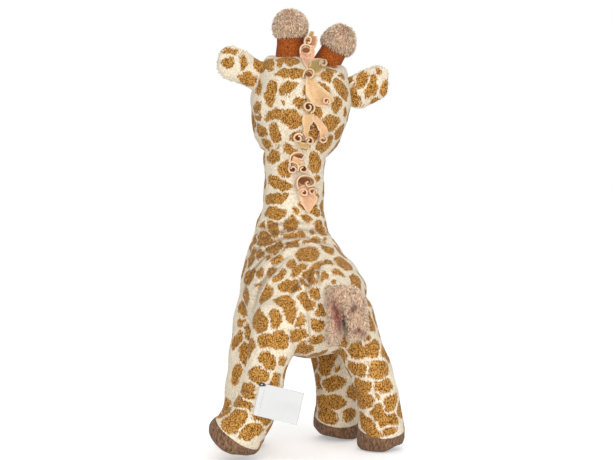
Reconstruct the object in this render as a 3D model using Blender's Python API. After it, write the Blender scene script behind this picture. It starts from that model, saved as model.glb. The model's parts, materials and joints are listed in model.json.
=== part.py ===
"""Standing plush giraffe, 30 cm tall, as an assembly of its sewn and stuffed pieces.

The giraffe faces -Y, its left side is +X and it stands on Z = 0. Each spotted skin is a hollow
cover of short-pile plush over a separate core of fibre stuffing. Limbs, neck and head meet in
round seats, so that each can flex about the middle of its own seam.
"""

import math

import bmesh
import bpy
from mathutils import Matrix, Vector
from mathutils.bvhtree import BVHTree

MM = 0.001

# Cloth, seams and facets
SKIN_WALL = 2.0 * MM
SEAM_GAP = 0.3 * MM
CUT_OVERRUN = 30.0 * MM
GROUND_FLAT = 0.5 * MM
SHARP_EDGE_ANGLE = 40.0
TRUNK_SIDES = 24
NECK_SIDES = 20
HEAD_SIDES = 24
LEG_SIDES = 14
SEAT_SIDES = 20
HORN_SIDES = 14
TAIL_SIDES = 10
SMALL_SIDES = 12

# Trunk: level rings from the belly up to the base of the neck
TRUNK_BOTTOM = 66.0 * MM
TRUNK_TOP = 143.0 * MM
TRUNK_HALF_WIDTH = 40.0 * MM
TRUNK_HALF_LENGTH = 50.0 * MM
TRUNK_LEAN = 34.0 * MM
TRUNK_POWER = 2.25
# up the trunk, half width, half length, and how far the ring's middle lies forward
TRUNK_STATION_SHARES = (
    (0.012, 0.36, 0.50, 0.20),
    (0.060, 0.60, 0.74, 0.22),
    (0.150, 0.78, 0.88, 0.24),
    (0.270, 0.90, 0.97, 0.26),
    (0.410, 0.96, 1.00, 0.32),
    (0.540, 0.99, 0.97, 0.40),
    (0.660, 0.96, 0.95, 0.50),
    (0.770, 0.89, 0.88, 0.64),
    (0.870, 0.78, 0.75, 0.82),
    (0.940, 0.69, 0.64, 0.93),
    (1.000, 0.61, 0.55, 1.00),
)

# Neck: a tube with a round end in the trunk and a round end in the head
NECK_BASE_ABOVE_TRUNK = 7.0 * MM
NECK_BASE_RADIUS = 24.0 * MM
NECK_RISE = 47.0 * MM
NECK_TOP_RADIUS = 22.0 * MM
NECK_WAIST_RADIUS = 20.6 * MM
NECK_FORWARD = 34.0 * MM
NECK_REACH = 4.0 * MM
NECK_SWAY = 3.5 * MM
NECK_END_ANGLES = (24.0, 46.0, 66.0, 90.0)
NECK_WAIST_SHARES = (0.28, 0.52, 0.76)

# Head: rings above the joint in the neck, with the skull set forward of it
HEAD_HEIGHT = 69.0 * MM
HEAD_HALF_WIDTH = 33.5 * MM
HEAD_HALF_LENGTH = 32.0 * MM
HEAD_FORWARD = 7.0 * MM
HEAD_POWER = 2.15
HEAD_ROLL = 9.0
HEAD_TURN = 10.0
# up the head, half width, half length
HEAD_STATION_SHARES = (
    (0.020, 0.50, 0.56),
    (0.060, 0.70, 0.74),
    (0.140, 0.80, 0.84),
    (0.230, 0.89, 0.91),
    (0.340, 0.96, 0.97),
    (0.460, 1.00, 1.00),
    (0.580, 1.00, 1.00),
    (0.700, 0.96, 0.96),
    (0.800, 0.88, 0.88),
    (0.880, 0.75, 0.76),
    (0.945, 0.55, 0.57),
    (0.985, 0.30, 0.32),
)

# Muzzle: a stuffed cup sewn to the front of the head
MUZZLE_HEIGHT = 25.0 * MM
MUZZLE_LENGTH = 40.0 * MM
MUZZLE_ROOT = 14.0 * MM
MUZZLE_HALF_WIDTH = 22.0 * MM
MUZZLE_HALF_HEIGHT = 17.0 * MM
MUZZLE_DROP = 5.0 * MM
# along the muzzle, half width, half height
MUZZLE_STATION_SHARES = (
    (0.02, 0.98, 1.00),
    (0.25, 1.00, 1.00),
    (0.50, 0.94, 0.93),
    (0.70, 0.92, 0.90),
    (0.84, 0.88, 0.84),
    (0.93, 0.72, 0.68),
    (0.98, 0.46, 0.44),
)
NOSTRIL_HALF_WIDTH = 2.4 * MM
NOSTRIL_HALF_HEIGHT = 1.5 * MM
NOSTRIL_PROUD = 0.8 * MM
NOSTRIL_SPREAD = 24.0
NOSTRIL_RISE = 16.0
MOUTH_THREAD = 0.6 * MM
MOUTH_SPREAD = 34.0
MOUTH_DROP = 22.0
MOUTH_SAG = 12.0
MOUTH_STEPS = 10

# Safety eyes: a domed button, its shank through the skin and a lock washer inside
EYE_RADIUS = 4.6 * MM
EYE_HEIGHT = 3.4 * MM
EYE_SHANK_RADIUS = 1.4 * MM
EYE_SHANK_LENGTH = 8.5 * MM
EYE_BORE_CLEARANCE = 0.3 * MM
WASHER_RADIUS = 5.0 * MM
WASHER_THICKNESS = 1.2 * MM
EYE_SPREAD = 50.0
EYE_RISE = 10.0

# Ears: a spotted back and a fleecy lining, sewn round the edge, on a rounded root
EAR_LENGTH = 35.0 * MM
EAR_HALF_WIDTH = 11.5 * MM
EAR_HALF_THICKNESS = 3.0 * MM
EAR_CUP = 2.6 * MM
EAR_HEIGHTS = {"left": 54.0 * MM, "right": 51.5 * MM}
EAR_FORWARD = 7.0 * MM
EAR_SWEEP = 6.0
EAR_LIFTS = {"left": 12.0, "right": 24.0}
EAR_ARC_STEPS = 6
# out from the root, half width, half thickness; the root end is rounded about the joint
EAR_STATION_SHARES = (
    (0.10, 0.80, 0.95),
    (0.22, 0.82, 0.92),
    (0.36, 0.91, 1.00),
    (0.52, 1.00, 1.00),
    (0.68, 0.99, 0.92),
    (0.82, 0.86, 0.76),
    (0.92, 0.64, 0.58),
    (0.98, 0.36, 0.40),
)
EAR_ROOT_ANGLES = (78.0, 50.0, 22.0)

# Horns: a ribbed stem on a round root, with a fleecy ball on top
HORN_ROOT_RADIUS = 10.0 * MM
HORN_STEM_RADIUS = 9.3 * MM
HORN_STEM_LENGTH = 19.0 * MM
HORN_STEM_SHARES = (0.0, 0.35, 1.0)
HORN_WALL = 1.4 * MM
HORN_BALL_RADIUS = 12.7 * MM
HORN_BALL_HEIGHT = 23.0 * MM
HORN_BALL_LAP = 4.0 * MM
HORN_SPREAD = 12.4 * MM
HORN_FORWARD = 8.0 * MM
HORN_ROOT_DEPTH = 1.5 * MM
HORN_LEANS = {"left": 9.0, "right": 18.0}
HORN_SWAY = 8.0
HORN_ROOT_ANGLES = (25.0, 48.0, 68.0)
# up the ball, radius
HORN_BALL_SHARES = (
    (0.00, 0.80),
    (0.10, 0.93),
    (0.26, 1.00),
    (0.46, 0.99),
    (0.64, 0.90),
    (0.80, 0.71),
    (0.92, 0.46),
)

# Legs: a round top seated in the trunk, a straight leg and a foot with its hoof
HIP_HEIGHT = 92.0 * MM
THIGH_RADIUS = 17.5 * MM
LEG_TURNING_GAP = 5.0 * MM
RAISED_FOOT_STUFFING_GAP = 0.47 * MM
RAISED_FOOT_SWING_ROOM = 18.0
LEG_TOP_ANGLES = (16.0, 36.0, 56.0, 76.0, 94.0)
# down the leg, half width, half length and how far forward, all of the thigh's radius
LEG_STATION_SHARES = (
    (0.22, 0.96, 0.97, 0.00),
    (0.40, 0.88, 0.90, 0.00),
    (0.58, 0.84, 0.86, 0.01),
    (0.74, 0.87, 0.93, 0.06),
    (0.86, 0.96, 1.08, 0.14),
    (0.94, 1.00, 1.14, 0.17),
    (0.985, 0.95, 1.10, 0.17),
    (1.00, 0.82, 0.97, 0.17),
)
HOOF_HEEL_HEIGHT = 10.0 * MM
HOOF_TOE_HEIGHT = 22.0 * MM
# side, hip across and forward, foot across and forward, toe turned out, toe raised
LEGS = {
    "front_left": (25.0 * MM, 33.0 * MM, 37.0 * MM, 27.0 * MM, 6.0, 0.0),
    "front_right": (-25.0 * MM, 33.0 * MM, -32.0 * MM, 28.0 * MM, 4.0, 0.0),
    "rear_left": (29.0 * MM, -20.0 * MM, 61.0 * MM, -22.0 * MM, 66.0, 32.0),
    "rear_right": (-22.5 * MM, -20.0 * MM, -46.0 * MM, -22.0 * MM, 6.0, 0.0),
}
LEG_SWINGS = {"front": (-8.0, 16.0), "rear": (-10.0, 8.0)}

# Tail: a plush roll sewn to the rump on a short root, folded over and hanging in two ends
TAIL_ROOT_UP_TRUNK_SHARE = 0.5844
TAIL_ROOT_ACROSS = -3.0 * MM
TAIL_ROOT_RADIUS = 7.0 * MM
TAIL_NECK_RADIUS = 5.0 * MM
TAIL_RADIUS = 6.8 * MM
TAIL_ARCH = 9.5 * MM
TAIL_ROOT_ALONG_ARCH = 60.0
TAIL_ARCH_STEPS = 6
TAIL_ARCH_SWELL_SHARE = 0.1
TAIL_DROP = 27.0 * MM
TAIL_OFF_RUMP = 1.5 * MM
# down each hanging end from the arch, the roll's radius and how far out from the rump
TAIL_INNER_END_SHARES = (
    (1.06, 0.50, 0.06),
    (0.96, 0.86, 0.06),
    (0.66, 0.98, 0.05),
    (0.32, 1.00, 0.05),
)
TAIL_OUTER_END_SHARES = (
    (0.28, 1.10, 0.10),
    (0.56, 1.10, 0.16),
    (0.78, 0.94, 0.18),
    (0.88, 0.56, 0.18),
)

# Mane: strips of felt, each curled up at its free end
FELT = 0.9 * MM
CURL_RADIUS = 3.9 * MM
CURL_END_RADIUS = 1.9 * MM
CURL_LEAD = 5.0 * MM
CURL_WIDTH = 6.5 * MM
CURL_TURN = 400.0
CURL_STEPS = 12
SETTLE_STEPS = 3
# up the back of the head, style, side, and shares of lead, curl and width
HEAD_MANE_SHARES = (
    (0.985, "flared", -1, 2.40, 1.05, 0.86),
    (0.880, "curled", 1, 0.80, 1.00, 1.00),
    (0.740, "rolled", -1, 0.60, 0.95, 1.10),
    (0.590, "curled", 1, 0.50, 1.10, 1.00),
    (0.420, "rolled", -1, 0.60, 0.90, 1.00),
    (0.250, "curled", 1, 0.65, 0.90, 0.85),
)
NECK_MANE_SHARES = (
    (0.850, "curled", 1, 0.50, 0.90, 0.90),
    (0.640, "rolled", -1, 0.60, 1.05, 1.05),
    (0.420, "curled", -1, 0.50, 0.95, 0.85),
    (0.170, "rolled", 1, 0.60, 0.85, 1.00),
)

# Care label: a folded tape sewn into the back seam of one leg
LABEL_LEG = "rear_left"
LABEL_WIDTH = 22.0 * MM
LABEL_LENGTH = 30.0 * MM
LABEL_THICKNESS = 0.8 * MM
LABEL_HEIGHT = 40.0 * MM
LABEL_TILT = 12.0
LABEL_FACING = 20.0
LABEL_BOW = 2.0 * MM
LABEL_STEPS = 6
LABEL_SEAT_GAP = 0.6 * MM

UP = Vector((0, 0, 1))
FORWARD = Vector((0, -1, 0))
LEFT = Vector((1, 0, 0))

COLOURS = {
    "spotted_plush": ((0.62, 0.42, 0.22), 0.95, 0.0),
    "muzzle_plush": ((0.72, 0.56, 0.42), 0.95, 0.0),
    "fleece_white": ((0.86, 0.82, 0.76), 0.95, 0.0),
    "fleece_taupe": ((0.50, 0.36, 0.27), 0.95, 0.0),
    "hoof_plush": ((0.18, 0.10, 0.07), 0.95, 0.0),
    "ribbed_rust": ((0.38, 0.11, 0.03), 0.90, 0.0),
    "felt_peach": ((0.74, 0.52, 0.34), 0.90, 0.0),
    "fibre_stuffing": ((0.88, 0.88, 0.86), 1.00, 0.0),
    "eye_plastic": ((0.02, 0.012, 0.01), 0.12, 0.0),
    "washer_plastic": ((0.80, 0.80, 0.78), 0.45, 0.0),
    "thread_brown": ((0.12, 0.06, 0.04), 0.70, 0.0),
    "label_tape": ((0.88, 0.88, 0.86), 0.80, 0.0),
}


def clear_scene():
    for obj in list(bpy.data.objects):
        bpy.data.objects.remove(obj)


def make_materials():
    """One Principled BSDF for each cloth, plastic and thread."""
    made = {}
    for name, (colour, roughness, metallic) in COLOURS.items():
        material = bpy.data.materials.new(name)
        material.use_nodes = True
        shader = material.node_tree.nodes["Principled BSDF"]
        shader.inputs["Base Color"].default_value = (*colour, 1)
        shader.inputs["Roughness"].default_value = roughness
        shader.inputs["Metallic"].default_value = metallic
        made[name] = material
    return made


def turned(angle, axis):
    """A turn in degrees about an axis."""
    return Matrix.Rotation(math.radians(angle), 3, axis)


def make_pivot(name, place, parent=None, turn=None):
    """An empty on a joint's axis, for the pieces that move about it."""
    pivot = bpy.data.objects.new(name, None)
    bpy.context.scene.collection.objects.link(pivot)
    pivot.parent = parent
    pivot.location = place
    if turn is not None:
        pivot.rotation_euler = turn.to_euler()
    return pivot


def make_piece(name, form, material, parent):
    """A named object from a form, in the frame of its parent pivot."""
    mesh = bpy.data.meshes.new(name)
    form.to_mesh(mesh)
    form.free()
    mesh.materials.append(MATERIALS[material])
    mesh.shade_smooth()
    mesh.set_sharp_from_angle(angle=math.radians(SHARP_EDGE_ANGLE))
    piece = bpy.data.objects.new(name, mesh)
    bpy.context.scene.collection.objects.link(piece)
    piece.parent = parent
    return piece


def make_cutter(name, form, parent):
    """A helper solid that takes its own shape out of other pieces."""
    mesh = bpy.data.meshes.new(name)
    form.to_mesh(mesh)
    form.free()
    cutter = bpy.data.objects.new(name, mesh)
    bpy.context.scene.collection.objects.link(cutter)
    cutter.parent = parent
    cutter.hide_render = True
    cutter.display_type = "WIRE"
    return cutter


def cut(pieces, cutter, solver="EXACT"):
    for piece in pieces:
        change = piece.modifiers.new("less " + cutter.name, "BOOLEAN")
        change.operation = "DIFFERENCE"
        change.solver = solver
        change.object = cutter


def ring(middle, across, along, half_across, half_along, sides, power=2.0):
    """Points of a superellipse round a middle, in the plane of two directions."""
    points = []
    for step in range(sides):
        angle = 2 * math.pi * step / sides
        c, s = math.cos(angle), math.sin(angle)
        c = math.copysign(abs(c) ** (2 / power), c)
        s = math.copysign(abs(s) ** (2 / power), s)
        points.append(middle + across * (half_across * c) + along * (half_along * s))
    return points


def lofted(rings, start=None, end=None):
    """A closed form through rings of equal count, ended in a point or a flat face."""
    form = bmesh.new()
    loops = [[form.verts.new(point) for point in points] for points in rings]
    sides = len(loops[0])
    for low, high in zip(loops, loops[1:]):
        for i in range(sides):
            j = (i + 1) % sides
            form.faces.new((low[i], low[j], high[j], high[i]))
    for loop, tip in ((loops[0], start), (loops[-1], end)):
        if tip is None:
            form.faces.new(loop)
            continue
        pole = form.verts.new(tip)
        for i in range(sides):
            form.faces.new((loop[i], loop[(i + 1) % sides], pole))
    bmesh.ops.recalc_face_normals(form, faces=form.faces)
    form.normal_update()
    return form


def grown(form, growth):
    """A copy of a form with its surface moved outwards, or inwards where growth is negative."""
    copy = form.copy()
    copy.normal_update()
    for vert, normal in [(v, v.normal.copy()) for v in copy.verts]:
        vert.co += normal * growth
    return copy


def joined(first, second):
    """One form that holds the surfaces of both."""
    both = first.copy()
    carrier = bpy.data.meshes.new("carrier")
    second.to_mesh(carrier)
    both.from_mesh(carrier)
    bpy.data.meshes.remove(carrier)
    return both


def hollow(form, wall):
    """A cover of even wall: the form with its inner surface turned to face the hollow."""
    inner = grown(form, -wall)
    bmesh.ops.reverse_faces(inner, faces=inner.faces)
    cover = joined(form, inner)
    inner.free()
    return cover


def facet_slack(sides):
    """How much larger a faceted seat is drawn, so that its flats clear a round of the true size."""
    return 1 / (math.cos(math.pi / sides) * math.cos(math.pi / sides))


def ball(middle, radius, sides):
    form = bmesh.new()
    bmesh.ops.create_uvsphere(form, u_segments=sides, v_segments=sides // 2, radius=radius)
    bmesh.ops.translate(form, verts=form.verts, vec=middle)
    return form


def rod(start, end, radius, sides):
    """A plain round rod between two points."""
    axis = (end - start).normalized()
    side = axis.orthogonal().normalized()
    other = axis.cross(side)
    return lofted([ring(p, side, other, radius, radius, sides) for p in (start, end)])


def surface_under(tree, start, direction):
    """Where a ray meets a form from outside, and the outward normal there."""
    point, normal, _, _ = tree.ray_cast(start, direction)
    return point, normal


def seat_room(middle, axis, hinge, radius, limb_radius, swing, reach):
    """What a limb needs inside its carrier: a round seat, opening into room for its swing."""
    swept = hinge.cross(axis).normalized()
    across = axis.cross(swept)
    seat = (radius + SEAM_GAP) * facet_slack(SEAT_SIDES)
    widen = math.tan(math.radians(swing))
    rings = []
    steps = SEAT_SIDES // 2
    edge = math.asin(min(1, (limb_radius + SEAM_GAP) / seat))
    for step in range(1, steps):
        angle = math.pi * step / steps
        if math.pi - angle <= edge:
            break
        size = seat * math.sin(angle)
        rings.append(ring(middle - axis * (seat * math.cos(angle)), across, swept, size, size, SEAT_SIDES))
    for out in (seat * math.cos(edge), reach):
        size = (limb_radius + SEAM_GAP) * facet_slack(SEAT_SIDES)
        rings.append(ring(middle + axis * out, across, swept, size, size + out * widen, SEAT_SIDES))
    return lofted(rings, start=middle - axis * seat)


def build_trunk(root):
    """The body's cover and stuffing, cut later by the seats of the legs, neck and tail."""
    height = TRUNK_TOP - TRUNK_BOTTOM
    rings = []
    for up, width, length, lean in TRUNK_STATION_SHARES:
        middle = UP * (TRUNK_BOTTOM + up * height) + FORWARD * (lean * TRUNK_LEAN)
        half_width, half_length = width * TRUNK_HALF_WIDTH, length * TRUNK_HALF_LENGTH
        rings.append(ring(middle, LEFT, FORWARD, half_width, half_length, TRUNK_SIDES, TRUNK_POWER))
    base_lean = TRUNK_STATION_SHARES[0][3] * TRUNK_LEAN
    bottom = UP * TRUNK_BOTTOM + FORWARD * base_lean
    form = lofted(rings, start=bottom, end=UP * TRUNK_TOP + FORWARD * TRUNK_LEAN)
    stuffing = grown(form, -SKIN_WALL - SEAM_GAP)
    tree = BVHTree.FromBMesh(form)
    skin = make_piece("trunk_skin", hollow(form, SKIN_WALL), "spotted_plush", root)
    core = make_piece("trunk_stuffing", stuffing, "fibre_stuffing", root)
    form.free()
    return skin, core, tree


def neck_form(length_line):
    """The neck about its base joint: a round end, a waist and a round end."""
    length, axis = length_line.length, length_line.normalized()
    other = axis.cross(LEFT).normalized()
    side = other.cross(axis)
    rings = []
    for angle in NECK_END_ANGLES:
        size = NECK_BASE_RADIUS * math.sin(math.radians(angle))
        down = NECK_BASE_RADIUS * math.cos(math.radians(angle))
        rings.append(ring(axis * -down, side, other, size, size, NECK_SIDES))
    for share in NECK_WAIST_SHARES:
        rings.append(
            ring(axis * (share * length), side, other, NECK_WAIST_RADIUS, NECK_WAIST_RADIUS, NECK_SIDES)
        )
    for angle in reversed(NECK_END_ANGLES):
        size = NECK_TOP_RADIUS * math.sin(math.radians(angle))
        rise = NECK_TOP_RADIUS * math.cos(math.radians(angle))
        rings.append(ring(axis * (length + rise), side, other, size, size, NECK_SIDES))
    return lofted(rings, start=axis * -NECK_BASE_RADIUS, end=axis * (length + NECK_TOP_RADIUS))


def build_neck(root, trunk_pieces):
    """The neck on its base joint, with the joint of the head at its upper end."""
    base = UP * (TRUNK_TOP + NECK_BASE_ABOVE_TRUNK) + FORWARD * NECK_FORWARD
    line = UP * NECK_RISE + FORWARD * NECK_REACH - LEFT * NECK_SWAY
    pivot = make_pivot("neck_pivot", base, root)
    form = neck_form(line)
    tree = BVHTree.FromBMesh(form)
    stuffing = grown(form, -SKIN_WALL - SEAM_GAP)
    skin = make_piece("neck_skin", hollow(form, SKIN_WALL), "spotted_plush", pivot)
    make_piece("neck_stuffing", stuffing, "fibre_stuffing", pivot)
    form.free()
    axis = line.normalized()
    hole = rod(axis * -CUT_OVERRUN, axis * (line.length + CUT_OVERRUN), LEG_TURNING_GAP, SMALL_SIDES)
    cut([skin], make_cutter("neck_turning_gaps", hole, pivot))
    seat_radius = (NECK_BASE_RADIUS + SEAM_GAP) * facet_slack(SEAT_SIDES)
    cut(trunk_pieces, make_cutter("neck_base_seat", ball(Vector(), seat_radius, SEAT_SIDES), pivot))
    return pivot, line, tree


def head_point(up_share, sideways=0.0):
    return UP * (up_share * HEAD_HEIGHT) + FORWARD * HEAD_FORWARD + LEFT * sideways


def build_head(neck_pivot, line):
    """The skull's cover and stuffing on the joint in the top of the neck."""
    turn = turned(-HEAD_TURN, UP) @ turned(HEAD_ROLL, FORWARD)
    pivot = make_pivot("head_pivot", line, neck_pivot, turn)
    rings = [
        ring(
            head_point(up), LEFT, FORWARD, width * HEAD_HALF_WIDTH, length * HEAD_HALF_LENGTH,
            HEAD_SIDES, HEAD_POWER,
        )
        for up, width, length in HEAD_STATION_SHARES
    ]
    form = lofted(rings, start=head_point(0), end=head_point(1))
    tree = BVHTree.FromBMesh(form)
    stuffing = grown(form, -SKIN_WALL - SEAM_GAP)
    around = grown(form, SEAM_GAP)
    inner = grown(form, -SKIN_WALL)
    inner_tree = BVHTree.FromBMesh(inner)
    inner.free()
    skin = make_piece("head_skin", hollow(form, SKIN_WALL), "spotted_plush", pivot)
    core = make_piece("head_stuffing", stuffing, "fibre_stuffing", pivot)
    form.free()
    seat_radius = (NECK_TOP_RADIUS + SEAM_GAP) * facet_slack(SEAT_SIDES)
    seat = make_cutter("neck_top_seat", ball(Vector(), seat_radius, SEAT_SIDES), pivot)
    cut([skin, core], seat)
    return pivot, skin, core, tree, inner_tree, around


def build_muzzle(pivot, around_head):
    """The muzzle's cover and stuffing, fitted to the front of the skull, with its stitches."""
    head_room = make_cutter("room_of_head", around_head, pivot)
    root = UP * MUZZLE_HEIGHT + FORWARD * (HEAD_FORWARD + MUZZLE_ROOT)
    tip = root + FORWARD * MUZZLE_LENGTH - UP * MUZZLE_DROP
    axis = (tip - root).normalized()
    rise = LEFT.cross(axis)
    rings = []
    for along, width, height in MUZZLE_STATION_SHARES:
        middle = root.lerp(tip, along)
        half_width, half_height = width * MUZZLE_HALF_WIDTH, height * MUZZLE_HALF_HEIGHT
        rings.append(ring(middle, LEFT, rise, half_width, half_height, HEAD_SIDES, HEAD_POWER))
    form = lofted(rings, start=root, end=tip)
    tree = BVHTree.FromBMesh(form)
    stuffing = grown(form, -SKIN_WALL - SEAM_GAP)
    around = make_cutter("room_of_muzzle", grown(form, SEAM_GAP), pivot)
    skin = make_piece("muzzle_skin", hollow(form, SKIN_WALL), "muzzle_plush", pivot)
    core = make_piece("muzzle_stuffing", stuffing, "fibre_stuffing", pivot)
    form.free()
    cut([skin, core], head_room)
    heart = root.lerp(tip, 0.5)
    for side, sign in (("left", 1), ("right", -1)):
        way = (
            turned(NOSTRIL_SPREAD * sign, UP)
            @ turned(-NOSTRIL_RISE, LEFT)
            @ FORWARD
        )
        point, normal = surface_under(tree, heart + way * CUT_OVERRUN, -way)
        form = ball(Vector(), NOSTRIL_PROUD, SMALL_SIDES)
        across = UP.cross(normal).normalized()
        frame = Matrix((across, normal.cross(across), normal)).transposed()
        stretch = Matrix.Diagonal(
            (NOSTRIL_HALF_WIDTH / NOSTRIL_PROUD, NOSTRIL_HALF_HEIGHT / NOSTRIL_PROUD, 1)
        )
        bmesh.ops.transform(form, matrix=(frame @ stretch).to_4x4(), verts=form.verts)
        bmesh.ops.translate(form, verts=form.verts, vec=point)
        cut([make_piece("nostril_" + side, form, "thread_brown", pivot)], around)
    build_mouth(pivot, tree, heart)


def build_mouth(pivot, tree, heart):
    """One long stitch that smiles across the front of the muzzle."""
    rings = []
    for step in range(MOUTH_STEPS + 1):
        share = 2 * step / MOUTH_STEPS - 1
        sink = MOUTH_DROP + MOUTH_SAG * (1 - share * share)
        way = (
            turned(MOUTH_SPREAD * share, UP)
            @ turned(sink, LEFT)
            @ FORWARD
        )
        point, normal = surface_under(tree, heart + way * CUT_OVERRUN, -way)
        rings.append((point + normal * (MOUTH_THREAD + SEAM_GAP), normal))
    made = []
    for index, (point, normal) in enumerate(rings):
        before = rings[max(index - 1, 0)][0]
        after = rings[min(index + 1, MOUTH_STEPS)][0]
        across = normal.cross(after - before).normalized()
        made.append(ring(point, across, normal, MOUTH_THREAD, MOUTH_THREAD, TAIL_SIDES))
    make_piece("mouth_stitch", lofted(made), "thread_brown", pivot)


def build_eye(side, sign, pivot, tree, inner_tree, head_skin, head_core):
    """A safety eye: its button and shank outside, and the washer that locks it inside."""
    heart = head_point(0.5)
    way = (
        turned(EYE_SPREAD * sign, UP)
        @ turned(-EYE_RISE, LEFT)
        @ FORWARD
    )
    point, normal = surface_under(tree, heart + way * (HEAD_HEIGHT + CUT_OVERRUN), -way)
    side_way = normal.orthogonal().normalized()
    other = normal.cross(side_way)
    seat = point + normal * SEAM_GAP
    steps = SMALL_SIDES // 4
    rings = []
    for foot in (seat - normal * EYE_SHANK_LENGTH, seat):
        rings.append(ring(foot, side_way, other, EYE_SHANK_RADIUS, EYE_SHANK_RADIUS, SMALL_SIDES))
    for step in range(steps):
        angle = math.pi / 2 * step / steps
        size, rise = EYE_RADIUS * math.cos(angle), EYE_HEIGHT * math.sin(angle)
        rings.append(ring(seat + normal * rise, side_way, other, size, size, SMALL_SIDES))
    make_piece("eye_" + side, lofted(rings, end=seat + normal * EYE_HEIGHT), "eye_plastic", pivot)

    bore_radius = (EYE_SHANK_RADIUS + EYE_BORE_CLEARANCE) * facet_slack(SMALL_SIDES)
    sunk = SKIN_WALL + SEAM_GAP
    deep = point - normal * HEAD_HALF_WIDTH
    for edge in ring(deep, side_way, other, WASHER_RADIUS, WASHER_RADIUS, SMALL_SIDES):
        wall, _, _, _ = inner_tree.ray_cast(edge, normal)
        sunk = max(sunk, (point - wall).dot(normal) + SEAM_GAP)
    top = point - normal * sunk
    bottom = top - normal * WASHER_THICKNESS
    washer = make_piece(
        "eye_washer_" + side, rod(bottom, top, WASHER_RADIUS, SMALL_SIDES), "washer_plastic", pivot
    )
    bore = rod(point - normal * CUT_OVERRUN / 2, point + normal * CUT_OVERRUN, bore_radius, SMALL_SIDES)
    bore_cutter = make_cutter("eye_bore_" + side, bore, pivot)
    pocket_radius = (WASHER_RADIUS + SEAM_GAP) * facet_slack(SMALL_SIDES)
    pocket_end = seat - normal * (EYE_SHANK_LENGTH + SEAM_GAP)
    end_depth = min(pocket_end.dot(normal), (bottom - normal * SEAM_GAP).dot(normal))
    pocket_end += normal * (end_depth - pocket_end.dot(normal))
    pocket = rod(pocket_end, point + normal * CUT_OVERRUN, pocket_radius, SMALL_SIDES)
    cut([head_skin, washer], bore_cutter)
    cut([head_core], make_cutter("washer_pocket_" + side, pocket, pivot))


def ear_layer(sign, layer):
    """Half of an ear's thickness, lying out sideways: layer is 1 for its back and -1 for its lining."""
    half_gap = SEAM_GAP / 2
    back = -FORWARD

    def outline(out, half_width, half_thickness):
        arc, middle = [], []
        for step in range(EAR_ARC_STEPS + 1):
            angle = math.pi * step / EAR_ARC_STEPS
            across = half_width * math.cos(angle)
            sag = -EAR_CUP * (across / EAR_HALF_WIDTH) ** 2
            rise = half_thickness * math.sin(angle)
            base = LEFT * (sign * out) + UP * across
            arc.append(base + back * (sag + layer * (half_gap + rise)))
            middle.append(base + back * (sag + layer * half_gap))
        return arc + middle[-2:0:-1]

    _, root_width, root_thick = EAR_STATION_SHARES[0]
    rings = []
    for angle in EAR_ROOT_ANGLES:
        inward = root_thick * EAR_HALF_THICKNESS * math.sin(math.radians(angle))
        thick = root_thick * EAR_HALF_THICKNESS * math.cos(math.radians(angle))
        rings.append(outline(-inward, root_width * EAR_HALF_WIDTH, thick))
    for out, width, thick in EAR_STATION_SHARES:
        rings.append(outline(out * EAR_LENGTH, width * EAR_HALF_WIDTH, thick * EAR_HALF_THICKNESS))
    return lofted(rings)


def build_ear(side, sign, head_pivot, tree, head_pieces):
    """An ear of two cloths on a rounded root that sits in a groove of the head."""
    start = UP * EAR_HEIGHTS[side] + FORWARD * EAR_FORWARD
    point, _ = surface_under(tree, start + LEFT * (sign * (HEAD_HALF_WIDTH + CUT_OVERRUN)), LEFT * -sign)
    turn = turned(EAR_LIFTS[side] * sign, FORWARD) @ turned(EAR_SWEEP * sign, UP)
    pivot = make_pivot("ear_" + side + "_pivot", point, head_pivot, turn)
    for name, layer, material in (("back", 1, "spotted_plush"), ("lining", -1, "fleece_white")):
        make_piece("ear_" + side + "_" + name, ear_layer(sign, layer), material, pivot)
    _, root_width, root_thick = EAR_STATION_SHARES[0]
    room = root_thick * EAR_HALF_THICKNESS + SEAM_GAP / 2 + EAR_CUP * root_width**2 + SEAM_GAP
    span = UP * (root_width * EAR_HALF_WIDTH + SEAM_GAP)
    groove = rod(-span, span, room * facet_slack(SMALL_SIDES), SMALL_SIDES)
    cut(head_pieces, make_cutter("ear_" + side + "_groove", groove, pivot))


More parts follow.
